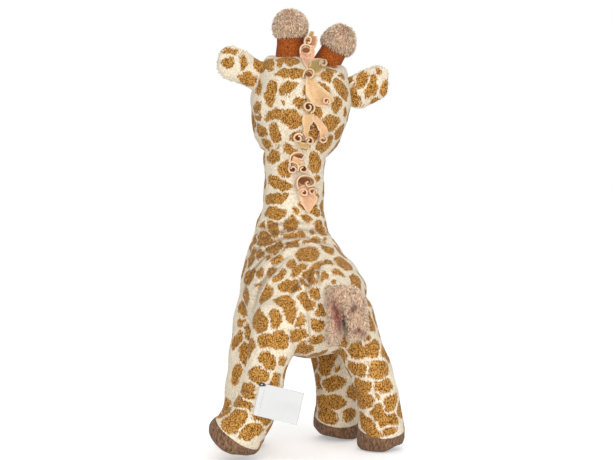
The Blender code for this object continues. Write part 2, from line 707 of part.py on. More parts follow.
def build_horn(side, sign, head_pivot, tree, head_pieces):
    """A horn: ribbed stem cover, its stuffing and the fleecy ball on top."""
    above = UP * (HEAD_HEIGHT + CUT_OVERRUN) + LEFT * (sign * HORN_SPREAD) + FORWARD * HORN_FORWARD
    point, _ = surface_under(tree, above, -UP)
    turn = turned(-HORN_LEANS[side] * sign, FORWARD)
    pivot = make_pivot("horn_" + side + "_pivot", point - UP * HORN_ROOT_DEPTH, head_pivot, turn)
    rings = []
    for angle in HORN_ROOT_ANGLES:
        size = HORN_ROOT_RADIUS * math.sin(math.radians(angle))
        down = HORN_ROOT_RADIUS * math.cos(math.radians(angle))
        rings.append(ring(UP * -down, LEFT, FORWARD, size, size, HORN_SIDES))
    swell = HORN_ROOT_RADIUS - HORN_STEM_RADIUS
    for share in HORN_STEM_SHARES:
        size = HORN_STEM_RADIUS + swell * (1 - share) ** 2
        rings.append(ring(UP * (share * HORN_STEM_LENGTH), LEFT, FORWARD, size, size, HORN_SIDES))
    form = lofted(rings, start=UP * -HORN_ROOT_RADIUS, end=UP * HORN_STEM_LENGTH)
    stuffing = grown(form, -HORN_WALL - SEAM_GAP)
    stem_room = make_cutter("room_of_stem_" + side, grown(form, SEAM_GAP), pivot)
    skin = make_piece("horn_" + side + "_stem", hollow(form, HORN_WALL), "ribbed_rust", pivot)
    make_piece("horn_" + side + "_stuffing", stuffing, "fibre_stuffing", pivot)
    form.free()
    hole = rod(UP * -CUT_OVERRUN, Vector(), HORN_STEM_RADIUS / 2, SMALL_SIDES)
    cut([skin], make_cutter("horn_" + side + "_turning_gap", hole, pivot))

    base = UP * (HORN_STEM_LENGTH - HORN_BALL_LAP)
    rings = []
    for up, size in HORN_BALL_SHARES:
        radius = size * HORN_BALL_RADIUS
        rings.append(ring(base + UP * (up * HORN_BALL_HEIGHT), LEFT, FORWARD, radius, radius, HORN_SIDES))
    form = lofted(rings, start=base, end=base + UP * HORN_BALL_HEIGHT)
    tip = make_piece("horn_" + side + "_ball", form, "fleece_taupe", pivot)
    cut([tip], stem_room)

    room = seat_room(
        Vector(), UP, FORWARD, HORN_ROOT_RADIUS, HORN_STEM_RADIUS, HORN_SWAY, HORN_STEM_LENGTH
    )
    cut(head_pieces, make_cutter("horn_" + side + "_seat", room, pivot))


def leg_rings(foot, heading, lift):
    """The leg about its hip: a round top, the leg itself and the foot on the ground."""
    axis = foot.normalized()
    toe = turned(heading, UP) @ FORWARD
    side = toe.cross(UP).normalized()
    tilt = turned(lift, side)
    rings = []
    top_side = LEFT - axis * axis.dot(LEFT)
    top_side.normalize()
    top_along = axis.cross(top_side)
    for angle in LEG_TOP_ANGLES:
        size = THIGH_RADIUS * math.sin(math.radians(angle))
        up = THIGH_RADIUS * math.cos(math.radians(angle))
        rings.append(ring(axis * -up, top_side, top_along, size, size, LEG_SIDES))
    for down, width, length, forward in LEG_STATION_SHARES:
        settle = down * down * (3 - 2 * down)
        plane = axis.lerp(tilt @ -UP, settle).normalized()
        along_way = top_along.lerp(tilt @ toe, settle)
        along_way = (along_way - plane * plane.dot(along_way)).normalized()
        across_way = along_way.cross(plane)
        straight = foot * down
        planted = foot + (tilt @ UP) * ((1 - down) * foot.length)
        middle = straight.lerp(planted, settle) + (tilt @ toe) * (forward * THIGH_RADIUS)
        half_width, half_length = width * THIGH_RADIUS, length * THIGH_RADIUS
        rings.append(ring(middle, across_way, along_way, half_width, half_length, LEG_SIDES))
    return rings, axis, tilt @ toe, tilt @ UP, middle


def build_leg(name, root, trunk_pieces):
    """One leg: its cover, its hoof, the stuffing of both and its seat in the trunk."""
    hip_across, hip_forward, foot_across, foot_forward, turn_out, lift = LEGS[name]
    sign = math.copysign(1, hip_across)
    hip = LEFT * hip_across + FORWARD * hip_forward + UP * HIP_HEIGHT
    sole = LEFT * foot_across + FORWARD * foot_forward - hip
    pivot = make_pivot("leg_" + name + "_pivot", hip, root)
    rings, *_ = leg_rings(sole, turn_out * sign, lift)
    if lift:
        sole.z -= min(point.z for points in rings for point in points) + HIP_HEIGHT + GROUND_FLAT
    rings, axis, toe, sole_up, middle = leg_rings(sole, turn_out * sign, lift)
    form = lofted(rings, start=axis * -THIGH_RADIUS, end=middle)
    tree = BVHTree.FromBMesh(form)
    slack = RAISED_FOOT_STUFFING_GAP if lift else SEAM_GAP
    stuffing = grown(form, -SKIN_WALL - slack)
    skin = make_piece("leg_" + name + "_skin", hollow(form, SKIN_WALL), "spotted_plush", pivot)
    hoof = make_piece("leg_" + name + "_hoof", hollow(form, SKIN_WALL), "hoof_plush", pivot)
    make_piece("leg_" + name + "_stuffing", stuffing, "fibre_stuffing", pivot)
    form.free()

    length = 2 * THIGH_RADIUS * LEG_STATION_SHARES[-3][2]
    seam = middle + sole_up * ((HOOF_HEEL_HEIGHT + HOOF_TOE_HEIGHT) / 2)
    slope = (toe * length + sole_up * (HOOF_TOE_HEIGHT - HOOF_HEEL_HEIGHT)).normalized()
    across = slope.cross(sole_up).normalized()
    normal = across.cross(slope)
    reach = HIP_HEIGHT
    for piece, label, way in ((skin, "below", -1), (hoof, "above", 1)):
        near = seam - normal * (way * SEAM_GAP / 2)
        block = [ring(near + normal * (way * far), across, slope, reach, reach, 4) for far in (0, reach * 2)]
        cut([piece], make_cutter("leg_" + name + "_" + label, lofted(block), pivot))
    hole = rod(axis * -CUT_OVERRUN, Vector(), LEG_TURNING_GAP, SMALL_SIDES)
    cut([skin], make_cutter("leg_" + name + "_turning_gap", hole, pivot))
    if lift:
        floor = [ring(UP * (-HIP_HEIGHT - deep), LEFT, FORWARD, reach, reach, 4) for deep in (0, reach)]
        cut([hoof], make_cutter("leg_" + name + "_ground", lofted(floor), pivot))

    swing = max(abs(limit) for limit in LEG_SWINGS[name.split("_")[0]])
    if lift:
        swing += RAISED_FOOT_SWING_ROOM
    room = seat_room(Vector(), axis, LEFT, THIGH_RADIUS, THIGH_RADIUS, swing, HIP_HEIGHT / 2)
    cut(trunk_pieces, make_cutter("leg_" + name + "_seat", room, pivot))
    return pivot, tree, sole


def curl_path(lead, radius, end_radius):
    """A straight lead and then a closing spiral, as points and directions in a plane."""
    points = [(0.0, 0.0, 0.0)]
    heading, x, y = 0.0, lead, 0.0
    points.append((x, y, heading))
    turn = math.radians(CURL_TURN) / CURL_STEPS
    for step in range(CURL_STEPS):
        size = radius + (end_radius - radius) * step / CURL_STEPS
        x += size * (math.sin(heading + turn) - math.sin(heading))
        y += size * (math.cos(heading) - math.cos(heading + turn))
        heading += turn
        points.append((x, y, heading))
    return points


def felt_curl(lead_way, turn_way, width_way, lead, radius, end_radius, width):
    """A strip of felt that runs along lead_way and curls over towards turn_way."""
    rings = []
    for x, y, heading in curl_path(lead, radius, end_radius):
        across = turn_way * math.cos(heading) - lead_way * math.sin(heading)
        middle = lead_way * x + turn_way * y
        rings.append(
            [
                middle + across * (FELT / 2 * a) + width_way * (width / 2 * b)
                for a, b in ((1, 1), (-1, 1), (-1, -1), (1, -1))
            ]
        )
    return lofted(rings)


def clearance(form, tree):
    """The least distance of a form from the surface that carries it."""
    least = math.inf
    for face in form.faces:
        for place in [vert.co for vert in face.verts] + [face.calc_center_median()]:
            nearest, facing, _, _ = tree.find_nearest(place)
            least = min(least, (place - nearest).dot(facing))
    return least


def settle(form, tree, normal):
    """Moves a form along a normal until its nearest point is one seam gap off its carrier."""
    for _ in range(SETTLE_STEPS):
        away = SEAM_GAP - clearance(form, tree)
        bmesh.ops.translate(form, verts=form.verts, vec=normal * away)


def build_curl(name, style, side, shares, point, normal, parent, tree):
    """One felt strip sewn at a point of the spine: standing curled, rolled outwards or flared up."""
    lead, size, width = shares
    spine = (UP - normal * normal.dot(UP)).normalized()
    across = spine.cross(normal).normalized() * side
    ways = {
        "curled": (across, -spine, normal),
        "rolled": ((normal + across).normalized(), (across - normal).normalized(), spine),
        "flared": ((normal + spine).normalized(), (spine - normal).normalized(), across),
    }
    lead_way, turn_way, width_way = ways[style]
    width_size = width * CURL_WIDTH
    if style == "curled":
        lift = SEAM_GAP + width_size / 2
    else:
        lift = SEAM_GAP + FELT
    form = felt_curl(
        lead_way, turn_way, width_way, lead * CURL_LEAD, size * CURL_RADIUS, size * CURL_END_RADIUS,
        width_size,
    )
    bmesh.ops.translate(form, verts=form.verts, vec=point + normal * lift)
    settle(form, tree, normal)
    return make_piece(name, form, "felt_peach", parent)


def build_mane(head_pivot, head_tree, neck_pivot, neck_tree, line):
    """The mane's felt strips, down the back of the head and then of the neck."""
    for index, (up, style, side, *shares) in enumerate(HEAD_MANE_SHARES, 1):
        start = head_point(up) - FORWARD * (HEAD_HALF_LENGTH + CUT_OVERRUN)
        point, normal = surface_under(head_tree, start, FORWARD)
        build_curl(f"mane_head_{index}", style, side, shares, point, normal, head_pivot, head_tree)
    for index, (up, style, side, *shares) in enumerate(NECK_MANE_SHARES, 1):
        start = line * up - FORWARD * (NECK_BASE_RADIUS + CUT_OVERRUN)
        point, normal = surface_under(neck_tree, start, FORWARD)
        build_curl(f"mane_neck_{index}", style, side, shares, point, normal, neck_pivot, neck_tree)


def tail_path():
    """The roll's middle line from one hanging end over the arch to the other, with its sizes."""
    lean = math.radians(TAIL_ROOT_ALONG_ARCH)
    heart = -LEFT * (TAIL_ARCH * math.cos(lean)) - UP * (TAIL_ARCH * math.sin(lean))
    path = []
    for down, size, out in TAIL_INNER_END_SHARES:
        path.append((heart + LEFT * TAIL_ARCH - UP * (down * TAIL_DROP), size, out))
    for step in range(TAIL_ARCH_STEPS + 1):
        angle = math.pi * step / TAIL_ARCH_STEPS
        swell = TAIL_ARCH_SWELL_SHARE * math.sin(angle)
        place = heart + (LEFT * math.cos(angle) + UP * math.sin(angle)) * TAIL_ARCH
        path.append((place, 1 + swell, swell))
    for down, size, out in TAIL_OUTER_END_SHARES:
        path.append((heart - LEFT * TAIL_ARCH - UP * (down * TAIL_DROP), size, out))
    return path


def build_tail(root, trunk_tree, trunk_pieces):
    """The folded plush tail, on the short root that holds it to the rump."""
    height = TRUNK_BOTTOM + TAIL_ROOT_UP_TRUNK_SHARE * (TRUNK_TOP - TRUNK_BOTTOM)
    start = LEFT * TAIL_ROOT_ACROSS + UP * height - FORWARD * (TRUNK_HALF_LENGTH + CUT_OVERRUN)
    point, _ = surface_under(trunk_tree, start, FORWARD)
    pivot = make_pivot("tail_pivot", point, root)
    back = -FORWARD
    path, sizes = [], []
    for place, size, out in tail_path():
        rump, _ = surface_under(trunk_tree, start + place, FORWARD)
        rump_out = (rump - point).dot(back) if rump else 0.0
        off = rump_out + TAIL_RADIUS + TAIL_OFF_RUMP + out * TAIL_DROP
        path.append(place + back * off)
        sizes.append(size * TAIL_RADIUS)
    rings = []
    for index, centre in enumerate(path):
        along = (path[min(index + 1, len(path) - 1)] - path[max(index - 1, 0)]).normalized()
        out_way = (back - along * along.dot(back)).normalized()
        rings.append(ring(centre, along.cross(out_way), out_way, sizes[index], sizes[index], TAIL_SIDES))
    form = lofted(rings)
    room = make_cutter("room_of_tail_roll", grown(form, SEAM_GAP), pivot)
    make_piece("tail_roll", form, "fleece_taupe", pivot)
    steps = SMALL_SIDES // 2
    rings = []
    for step in range(1, steps):
        angle = math.pi * step / steps
        size, deep = TAIL_ROOT_RADIUS * math.sin(angle), TAIL_ROOT_RADIUS * math.cos(angle)
        if deep < 0 and size < TAIL_NECK_RADIUS:
            break
        rings.append(ring(back * -deep, LEFT, UP, size, size, SMALL_SIDES))
    end = back * (TAIL_RADIUS + TAIL_OFF_RUMP)
    rings.append(ring(end, LEFT, UP, TAIL_NECK_RADIUS, TAIL_NECK_RADIUS, SMALL_SIDES))
    stub = make_piece("tail_root", lofted(rings, start=back * -TAIL_ROOT_RADIUS), "fleece_taupe", pivot)
    cut([stub], room)
    seat_radius = (TAIL_ROOT_RADIUS + SEAM_GAP) * facet_slack(SMALL_SIDES)
    cut(trunk_pieces, make_cutter("tail_seat", ball(Vector(), seat_radius, SMALL_SIDES), pivot))


def build_label(leg_pivot, leg_tree, sole):
    """The care label: a tape hinged along the leg's seam, a little bowed and clear of the leg."""
    out = turned(-LABEL_FACING, UP) @ -FORWARD
    down = sole.normalized()
    heart = sole * ((LABEL_HEIGHT - HIP_HEIGHT) / sole.z)
    point, _ = surface_under(leg_tree, heart + out * CUT_OVERRUN, -out)
    along = turned(LABEL_TILT, out) @ out.cross(down)
    along = (along - out * along.dot(out)).normalized()
    seam_way = out.cross(along)
    turn = Matrix((along, seam_way, out)).transposed()
    rings = []
    for step in range(LABEL_STEPS + 1):
        share = step / LABEL_STEPS
        middle = Vector((LABEL_LENGTH * share, 0, LABEL_BOW * share * (2 - share)))
        corners = ((1, 1), (-1, 1), (-1, -1), (1, -1))
        rings.append(
            [middle + Vector((0, LABEL_WIDTH / 2 * a, LABEL_THICKNESS / 2 * b)) for a, b in corners]
        )
    form = lofted(rings)
    trial = form.copy()
    bmesh.ops.transform(trial, matrix=Matrix.Translation(point) @ turn.to_4x4(), verts=trial.verts)
    place = point + out * (LABEL_SEAT_GAP - clearance(trial, leg_tree))
    trial.free()
    make_piece("care_label", form, "label_tape", make_pivot("label_pivot", place, leg_pivot, turn))


def seat_in_frame(root):
    """Puts the middle of the whole toy's box, at the ground, on the origin."""
    bpy.context.view_layer.update()
    built = bpy.context.evaluated_depsgraph_get()
    low, high = Vector((math.inf,) * 3), Vector((-math.inf,) * 3)
    for obj in bpy.context.scene.objects:
        if obj.type == "MESH" and not obj.hide_render:
            for vert in obj.evaluated_get(built).data.vertices:
                place = obj.matrix_world @ vert.co
                low = Vector(map(min, low, place))
                high = Vector(map(max, high, place))
    middle = (low + high) / 2
    root.location = Vector((-middle.x, -middle.y, -low.z))
    bpy.context.view_layer.update()


def main():
    root = make_pivot("giraffe", Vector())
    trunk_skin, trunk_core, trunk_tree = build_trunk(root)
    trunk_pieces = [trunk_skin, trunk_core]
    neck_pivot, line, neck_tree = build_neck(root, trunk_pieces)
    head_pivot, head_skin, head_core, head_tree, head_inner_tree, around_head = build_head(neck_pivot, line)
    head_pieces = [head_skin, head_core]
    build_muzzle(head_pivot, around_head)
    for side, sign in (("left", 1), ("right", -1)):
        build_eye(side, sign, head_pivot, head_tree, head_inner_tree, head_skin, head_core)
        build_ear(side, sign, head_pivot, head_tree, head_pieces)
        build_horn(side, sign, head_pivot, head_tree, head_pieces)
    for name in LEGS:
        leg_pivot, leg_tree, sole = build_leg(name, root, trunk_pieces)
        if name == LABEL_LEG:
            build_label(leg_pivot, leg_tree, sole)
    build_mane(head_pivot, head_tree, neck_pivot, neck_tree, line)
    build_tail(root, trunk_tree, trunk_pieces)
    seat_in_frame(root)
    for obj in bpy.context.scene.objects:
        if obj.type == "EMPTY":
            print("joint centre", obj.name, [round(c, 5) for c in obj.matrix_world.translation])


clear_scene()
MATERIALS = make_materials()
main()
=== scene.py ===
# %% [markdown]
# # A standing plush giraffe
#
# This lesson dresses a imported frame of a 30 cm plush giraffe. The frame holds plain solids with real
# sizes and hinges. On top of it come soft skins with short pile and giraffe patches, fleecy horn tips
# and tail, curled felt in the mane, a care label and a face. The frame is loaded first, because every
# piece is placed by it and moves with one of its bodies.

# %% Load the frame
import json
import math

import bpy
import numpy as np
from mathutils import Matrix, Vector
from mathutils.bvhtree import BVHTree
from mathutils.kdtree import KDTree

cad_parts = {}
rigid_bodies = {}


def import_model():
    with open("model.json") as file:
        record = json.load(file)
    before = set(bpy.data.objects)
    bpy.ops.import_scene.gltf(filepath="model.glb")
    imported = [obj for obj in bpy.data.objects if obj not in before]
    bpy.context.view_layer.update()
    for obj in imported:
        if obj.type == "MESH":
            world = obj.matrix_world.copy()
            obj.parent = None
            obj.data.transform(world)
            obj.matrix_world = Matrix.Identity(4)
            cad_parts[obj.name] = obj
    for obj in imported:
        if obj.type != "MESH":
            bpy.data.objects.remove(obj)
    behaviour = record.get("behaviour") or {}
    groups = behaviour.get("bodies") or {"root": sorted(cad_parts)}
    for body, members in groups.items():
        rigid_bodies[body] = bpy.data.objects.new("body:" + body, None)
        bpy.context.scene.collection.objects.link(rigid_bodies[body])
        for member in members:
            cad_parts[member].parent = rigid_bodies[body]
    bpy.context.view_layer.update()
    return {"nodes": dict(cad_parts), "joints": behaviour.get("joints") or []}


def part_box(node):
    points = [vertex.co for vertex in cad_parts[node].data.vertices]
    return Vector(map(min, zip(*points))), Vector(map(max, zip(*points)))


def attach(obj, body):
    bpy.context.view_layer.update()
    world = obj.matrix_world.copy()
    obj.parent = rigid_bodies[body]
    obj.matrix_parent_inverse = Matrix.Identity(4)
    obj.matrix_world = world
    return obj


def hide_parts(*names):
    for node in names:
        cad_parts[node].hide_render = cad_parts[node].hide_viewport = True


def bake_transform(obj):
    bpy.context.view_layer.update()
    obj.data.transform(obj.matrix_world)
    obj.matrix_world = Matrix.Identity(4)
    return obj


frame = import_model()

MM = 0.001

# %% [markdown]
# ## The camera
#
# The photograph looks at the giraffe from behind and a little to its left, from slightly above, through
# a long lens. The camera comes first, because folds, felt strips and patches are placed by where they
# are seen. `seen_at` gives the place in the 613 x 460 picture of any point of the model.

# %% Camera
PHOTO_WIDE, PHOTO_HIGH = 613, 460
SENSOR_WIDE = 36.0
CAMERA_AZIMUTH, CAMERA_ELEVATION = math.radians(160), math.radians(6)
CAMERA_DISTANCE, SPAN_AT_TARGET = 1.9, 0.423
CAMERA_TARGET = Vector((-0.0072, 0.0026, 0.149))
toward_camera = Vector((
    math.sin(CAMERA_AZIMUTH) * math.cos(CAMERA_ELEVATION),
    -math.cos(CAMERA_AZIMUTH) * math.cos(CAMERA_ELEVATION),
    math.sin(CAMERA_ELEVATION),
))
camera = bpy.data.objects.new("photo_camera", bpy.data.cameras.new("photo_camera"))
bpy.context.scene.collection.objects.link(camera)
camera.data.sensor_width = SENSOR_WIDE
camera.data.lens = SENSOR_WIDE * CAMERA_DISTANCE / SPAN_AT_TARGET
camera.location = CAMERA_TARGET + toward_camera * CAMERA_DISTANCE
camera.rotation_euler = toward_camera.to_track_quat("Z", "Y").to_euler()
bpy.context.scene.camera = camera
bpy.context.view_layer.update()
into_camera = np.array(camera.matrix_world.inverted())
PIXELS_PER_SLOPE = camera.data.lens / SENSOR_WIDE * PHOTO_WIDE


def seen_at(points):
    """Where points of the model, one in each row, are seen: pixels across and down."""
    seen = np.atleast_2d(points) @ into_camera[:3, :3].T + into_camera[:3, 3]
    across = PHOTO_WIDE / 2 + PIXELS_PER_SLOPE * seen[:, 0] / -seen[:, 2]
    down = PHOTO_HIGH / 2 - PIXELS_PER_SLOPE * seen[:, 1] / -seen[:, 2]
    return across, down


def sight_line(across, down):
    """The start and direction of the line that is seen as one pixel."""
    slope = Vector(((across - PHOTO_WIDE / 2) / PIXELS_PER_SLOPE, (PHOTO_HIGH / 2 - down) / PIXELS_PER_SLOPE, -1))
    return camera.location.copy(), (camera.matrix_world.to_3x3() @ slope).normalized()


camera_right = Vector(camera.matrix_world.to_3x3() @ Vector((1, 0, 0)))
camera_up = Vector(camera.matrix_world.to_3x3() @ Vector((0, 1, 0)))
PIXEL = SPAN_AT_TARGET / PHOTO_WIDE
print("the target is seen at", [round(float(v[0]), 1) for v in seen_at(np.array(CAMERA_TARGET))])

# %% [markdown]
# ## Tools for modelling
#
# An operator works on what is selected, so each step starts by clearing the selection. A stuffed limb
# is drawn as a row of circles, one for each station along it, which are bridged into a tube and closed.
# This is quicker to shape than a sculpted ball, and its sizes can be read off.

# %% Selecting and modifying
def take(*pieces):
    """Selects only these pieces, the first one active."""
    if bpy.context.mode != "OBJECT":
        bpy.ops.object.mode_set(mode="OBJECT")
    bpy.ops.object.select_all(action="DESELECT")
    for piece in pieces:
        piece.select_set(True)
    bpy.context.view_layer.objects.active = pieces[0]


def open_faces(piece, chosen):
    """Opens a piece for editing with only the chosen faces selected."""
    take(piece)
    bpy.ops.object.mode_set(mode="EDIT")
    bpy.ops.mesh.select_mode(type="FACE")
    bpy.ops.mesh.select_all(action="DESELECT")
    bpy.ops.object.mode_set(mode="OBJECT")
    piece.data.polygons.foreach_set("select", chosen)
    bpy.ops.object.mode_set(mode="EDIT")


def new_piece(name, mesh=None):
    piece = bpy.data.objects.new(name, mesh or bpy.data.meshes.new(name))
    bpy.context.scene.collection.objects.link(piece)
    take(piece)
    return piece


def finish_with(piece, kind, **settings):
    """Adds a modifier, sets it and applies it."""
    change = piece.modifiers.new(kind.lower(), kind)
    for setting, value in settings.items():
        setattr(change, setting, value)
    take(piece)
    bpy.ops.object.modifier_apply(modifier=change.name)


def places(piece):
    """The vertices of a piece as rows of numbers."""
    found = np.empty(len(piece.data.vertices) * 3, np.float32)
    piece.data.vertices.foreach_get("co", found)
    return found.reshape(-1, 3).astype(float)


def facings(piece):
    """The vertex normals of a piece."""
    found = np.empty(len(piece.data.vertices) * 3, np.float32)
    piece.data.vertex_normals.foreach_get("vector", found)
    return found.reshape(-1, 3).astype(float)


def put(piece, points):
    piece.data.vertices.foreach_set("co", np.asarray(points, np.float32).ravel())
    piece.data.update()


def keep(piece, label, values):
    """Keeps one value for each point of a piece, for its material to read."""
    mark = piece.data.attributes.new(label, "FLOAT", "POINT")
    mark.data.foreach_set("value", np.asarray(values, np.float32))


def joined(name, pieces):
    """Joins some pieces into the first one and names it."""
    take(*pieces)
    if len(pieces) > 1:
        bpy.ops.object.join()
    piece = bpy.context.object
    piece.name = piece.data.name = name
    return piece


def tree_of(*pieces):
    """One search tree over all the faces of some pieces."""
    points, faces = [], []
    for piece in pieces:
        start = len(points)
        points += [v.co.copy() for v in piece.data.vertices]
        faces += [[start + i for i in p.vertices] for p in piece.data.polygons]
    return BVHTree.FromPolygons(points, faces)


def weigh(piece, name, weights, least=0.02):
    """Gives the points of a piece their weights in a new vertex group."""
    group = piece.vertex_groups.new(name=name)
    for index in np.nonzero(weights > least)[0]:
        group.add([int(index)], float(weights[index]), "REPLACE")
    return name


def even_weave(piece, cell, smoothing=6):
    """Covers a piece evenly with small square cells, which joins all that overlaps."""
    finish_with(piece, "REMESH", mode="VOXEL", voxel_size=cell, use_smooth_shade=True)
    finish_with(piece, "SMOOTH", factor=0.5, iterations=smoothing)


def bridged_circles(name, stations, sides=32):
    """A closed skin through circles: each station is a middle, a turn and two half widths."""
    piece = new_piece(name)
    bpy.ops.object.mode_set(mode="EDIT")
    for middle, turn, half_wide, half_long in stations:
        bpy.ops.mesh.primitive_circle_add(vertices=sides, radius=half_wide, location=middle, rotation=turn.to_euler())
        bpy.ops.transform.resize(
            value=(1, half_long / half_wide, 1), orient_type="LOCAL", orient_matrix=turn, orient_matrix_type="LOCAL",
            center_override=middle,
        )
    bpy.ops.mesh.select_all(action="SELECT")
    bpy.ops.mesh.bridge_edge_loops()
    bpy.ops.mesh.select_all(action="SELECT")
    bpy.ops.mesh.fill_holes(sides=0)
    bpy.ops.mesh.select_all(action="SELECT")
    bpy.ops.mesh.normals_make_consistent(inside=False)
    bpy.ops.object.mode_set(mode="OBJECT")
    return piece


def frame_copy(node, name, thicker=0.0):
    """A copy of a frame solid, its loose triangles merged, swelled by a cloth's thickness."""
    piece = new_piece(name, frame["nodes"][node].data.copy())
    bpy.ops.object.mode_set(mode="EDIT")
    bpy.ops.mesh.select_all(action="SELECT")
    bpy.ops.mesh.remove_doubles(threshold=0.00001)
    bpy.ops.object.mode_set(mode="OBJECT")
    piece.data.materials.clear()
    if thicker:
        finish_with(piece, "DISPLACE", strength=thicker, mid_level=0.0)
    return piece


def turned(angle, axis):
    return Matrix.Rotation(math.radians(angle), 3, axis)


def smooth_step(values, low, high):
    share = np.clip((values - low) / (high - low), 0, 1)
    return share * share * (3 - 2 * share)


def nudge(piece, moves):
    """Moves what is seen near some pixels to the right and up, in pixels, fading over a radius."""
    points = places(piece)
    across, down = seen_at(points)
    for x, y, radius, right, up in moves:
        near = np.exp(-((across - x) ** 2 + (down - y) ** 2) / radius**2)[:, None] * PIXEL
        points += near * (np.array(camera_right) * right + np.array(camera_up) * up)
    points[:, 2] = np.maximum(points[:, 2], 0)
    put(piece, points)


UP, FORWARD, LEFT = Vector((0, 0, 1)), Vector((0, -1, 0)), Vector((1, 0, 0))
joint_at = {joint["name"]: Vector(joint["pos_m"]) for joint in frame["joints"]}

# %% [markdown]
# ## The stuffed body
#
# On the real toy the body, neck and legs are sewn from one plush, and from behind no seam shows where a
# thigh leaves the body. So all of them are made as overlapping stuffed forms, joined by an even weave,
# and smoothed where they meet. The neck and legs follow the frame's own cores, swelled by the cloth.

# %% Body, neck and legs as one skin
SKIN_OVER_CORE = 2.3 * MM
BODY_CELL = 1.7 * MM
BODY_BOTTOM, BODY_TOP = 66 * MM, 145 * MM
BODY_MIDDLE = Vector((-1.5 * MM, 21.8 * MM, 0))
BODY_LEAN, BODY_HALF_WIDE, BODY_HALF_LONG = 34 * MM, 41 * MM, 51 * MM
# up the body, half width, half length, how far the middle lies forward
BODY_STATIONS = (
    (0.012, 0.36, 0.50, 0.20), (0.060, 0.60, 0.74, 0.22), (0.150, 0.78, 0.88, 0.24), (0.270, 0.90, 0.97, 0.26),
    (0.410, 0.96, 1.00, 0.32), (0.540, 0.99, 0.97, 0.40), (0.660, 0.96, 0.95, 0.50), (0.770, 0.89, 0.88, 0.64),
    (0.870, 0.78, 0.75, 0.82), (0.940, 0.69, 0.64, 0.93), (1.000, 0.61, 0.55, 1.00),
)
LEGS = ("front_left", "front_right", "rear_left", "rear_right")

stations = []
for up, wide, long, lean in BODY_STATIONS:
    middle = BODY_MIDDLE + FORWARD * (lean * BODY_LEAN) + UP * (BODY_BOTTOM + up * (BODY_TOP - BODY_BOTTOM))
    stations.append((middle, Matrix.Identity(3), wide * BODY_HALF_WIDE, long * BODY_HALF_LONG))
forms = [bridged_circles("body_form", stations, 48), frame_copy("neck_stuffing", "neck_form", SKIN_OVER_CORE)]
forms += [frame_copy("leg_" + leg + "_stuffing", "leg_form_" + leg, SKIN_OVER_CORE) for leg in LEGS]
trees = [tree_of(form) for form in forms]
skin = joined("skin", forms)
even_weave(skin, BODY_CELL)
print("one skin:", len(skin.data.vertices), "points, size", [round(v * 1000) for v in skin.dimensions])

# %% [markdown]
# Where two forms meet there is still a sharp valley. Each point gets a weight that says how near it is
# to a second form, and a smoothing held by that weight fills the valley as cloth does.

# %% Fill the valleys
VALLEY_FULL, VALLEY_REACH = 3 * MM, 11 * MM
second = [sorted(tree.find_nearest(Vector(point))[3] for tree in trees)[1] for point in places(skin)]
valley = 1 - smooth_step(np.array(second), VALLEY_FULL, VALLEY_REACH)
finish_with(skin, "SMOOTH", factor=0.5, iterations=45, vertex_group=weigh(skin, "valley", valley))
finish_with(skin, "SUBSURF", levels=1, render_levels=1)
print("after subdivision:", len(skin.data.vertices), "points")

# %% [markdown]
# ## Folds and seams
#
# The neck leans on the body and gathers its cloth in folds that run round the neck's base and down to
# the left shoulder. A sewn seam runs down the rump. Both are drawn as lines in the picture, and every
# point of the skin near a line sinks along its own normal, with a low ridge on either side.

# %% Folds drawn on the skin
# points across and down, depth in mm, half width in pixels
FOLDS = (
    (((258, 233), (270, 226), (290, 222), (312, 224)), 1.7, 2.2),
    (((254, 243), (272, 234), (293, 229), (322, 232)), 1.9, 2.2),
    (((250, 255), (262, 245), (280, 239), (305, 237), (330, 245)), 2.0, 2.4),
    (((247, 268), (257, 256), (272, 247), (290, 243), (310, 246)), 1.9, 2.3),
    (((244, 290), (252, 272), (264, 258), (282, 251)), 2.1, 2.4),
    (((256, 300), (261, 285), (272, 268), (290, 256)), 2.0, 2.4),
    (((253, 312), (258, 295), (266, 280), (280, 267)), 1.6, 2.3),
    (((302, 277), (297, 286), (289, 296)), 2.2, 2.0),
    (((313, 268), (309, 277), (309, 290)), 2.4, 2.2),
    (((322, 262), (318, 272), (321, 286)), 1.6, 2.2),
)
SEAMS = (
    (((305, 268), (306, 285), (307, 300), (309, 328), (311, 352)), 1.5, 1.2),
    (((372, 398), (373, 412), (374, 430)), 1.2, 1.1),
    (((330, 392), (332, 404), (334, 416)), 1.0, 1.1),
)
RIDGE_OFFSET = 2.1
# across, down, radius, then right and up, all in pixels
SKIN_NUDGES = (
    (214, 420, 12, -4, 1), (254, 459, 12, 1, 5), (268, 442, 11, -3, 0), (226, 446, 13, -3, -3.5),
    (292, 370, 12, -6, 0), (286, 385, 10, -2, 0), (305, 352, 14, 0, -2.5), (366, 286, 16, 5, 0),
    (348, 250, 12, -3, 0), (262, 225, 14, -2.5, 0), (324, 196, 26, 2, 0), (311, 438, 9, 5, 3), (330, 444, 16, 0, 5),
    (398, 446, 12, -2, 5), (383, 330, 20, -2, 0), (232, 330, 20, 2, 0), (245, 256, 14, 2, 0),
)


def along_line(across, down, line):
    """For each point, its distance in pixels from a drawn line, and its share of the way along it."""
    nearest, share = np.full(len(across), 1e9), np.zeros(len(across))
    for step, ((x0, y0), (x1, y1)) in enumerate(zip(line, line[1:])):
        run = np.array([x1 - x0, y1 - y0], float)
        t = np.clip(((across - x0) * run[0] + (down - y0) * run[1]) / (run @ run), 0, 1)
        away = np.hypot(across - x0 - t * run[0], down - y0 - t * run[1])
        closer = away < nearest
        nearest[closer] = away[closer]
        share[closer] = ((step + t) / (len(line) - 1))[closer]
    return nearest, share


def faded_ends(share):
    """The strength of a line along its way: full in the middle, fading at both ends."""
    return np.sqrt(np.clip(np.sin(np.pi * (0.04 + 0.92 * share)), 0, 1))


def facing_camera(normals, sharpness):
    return np.clip(normals @ np.array(toward_camera) * sharpness, 0, 1)


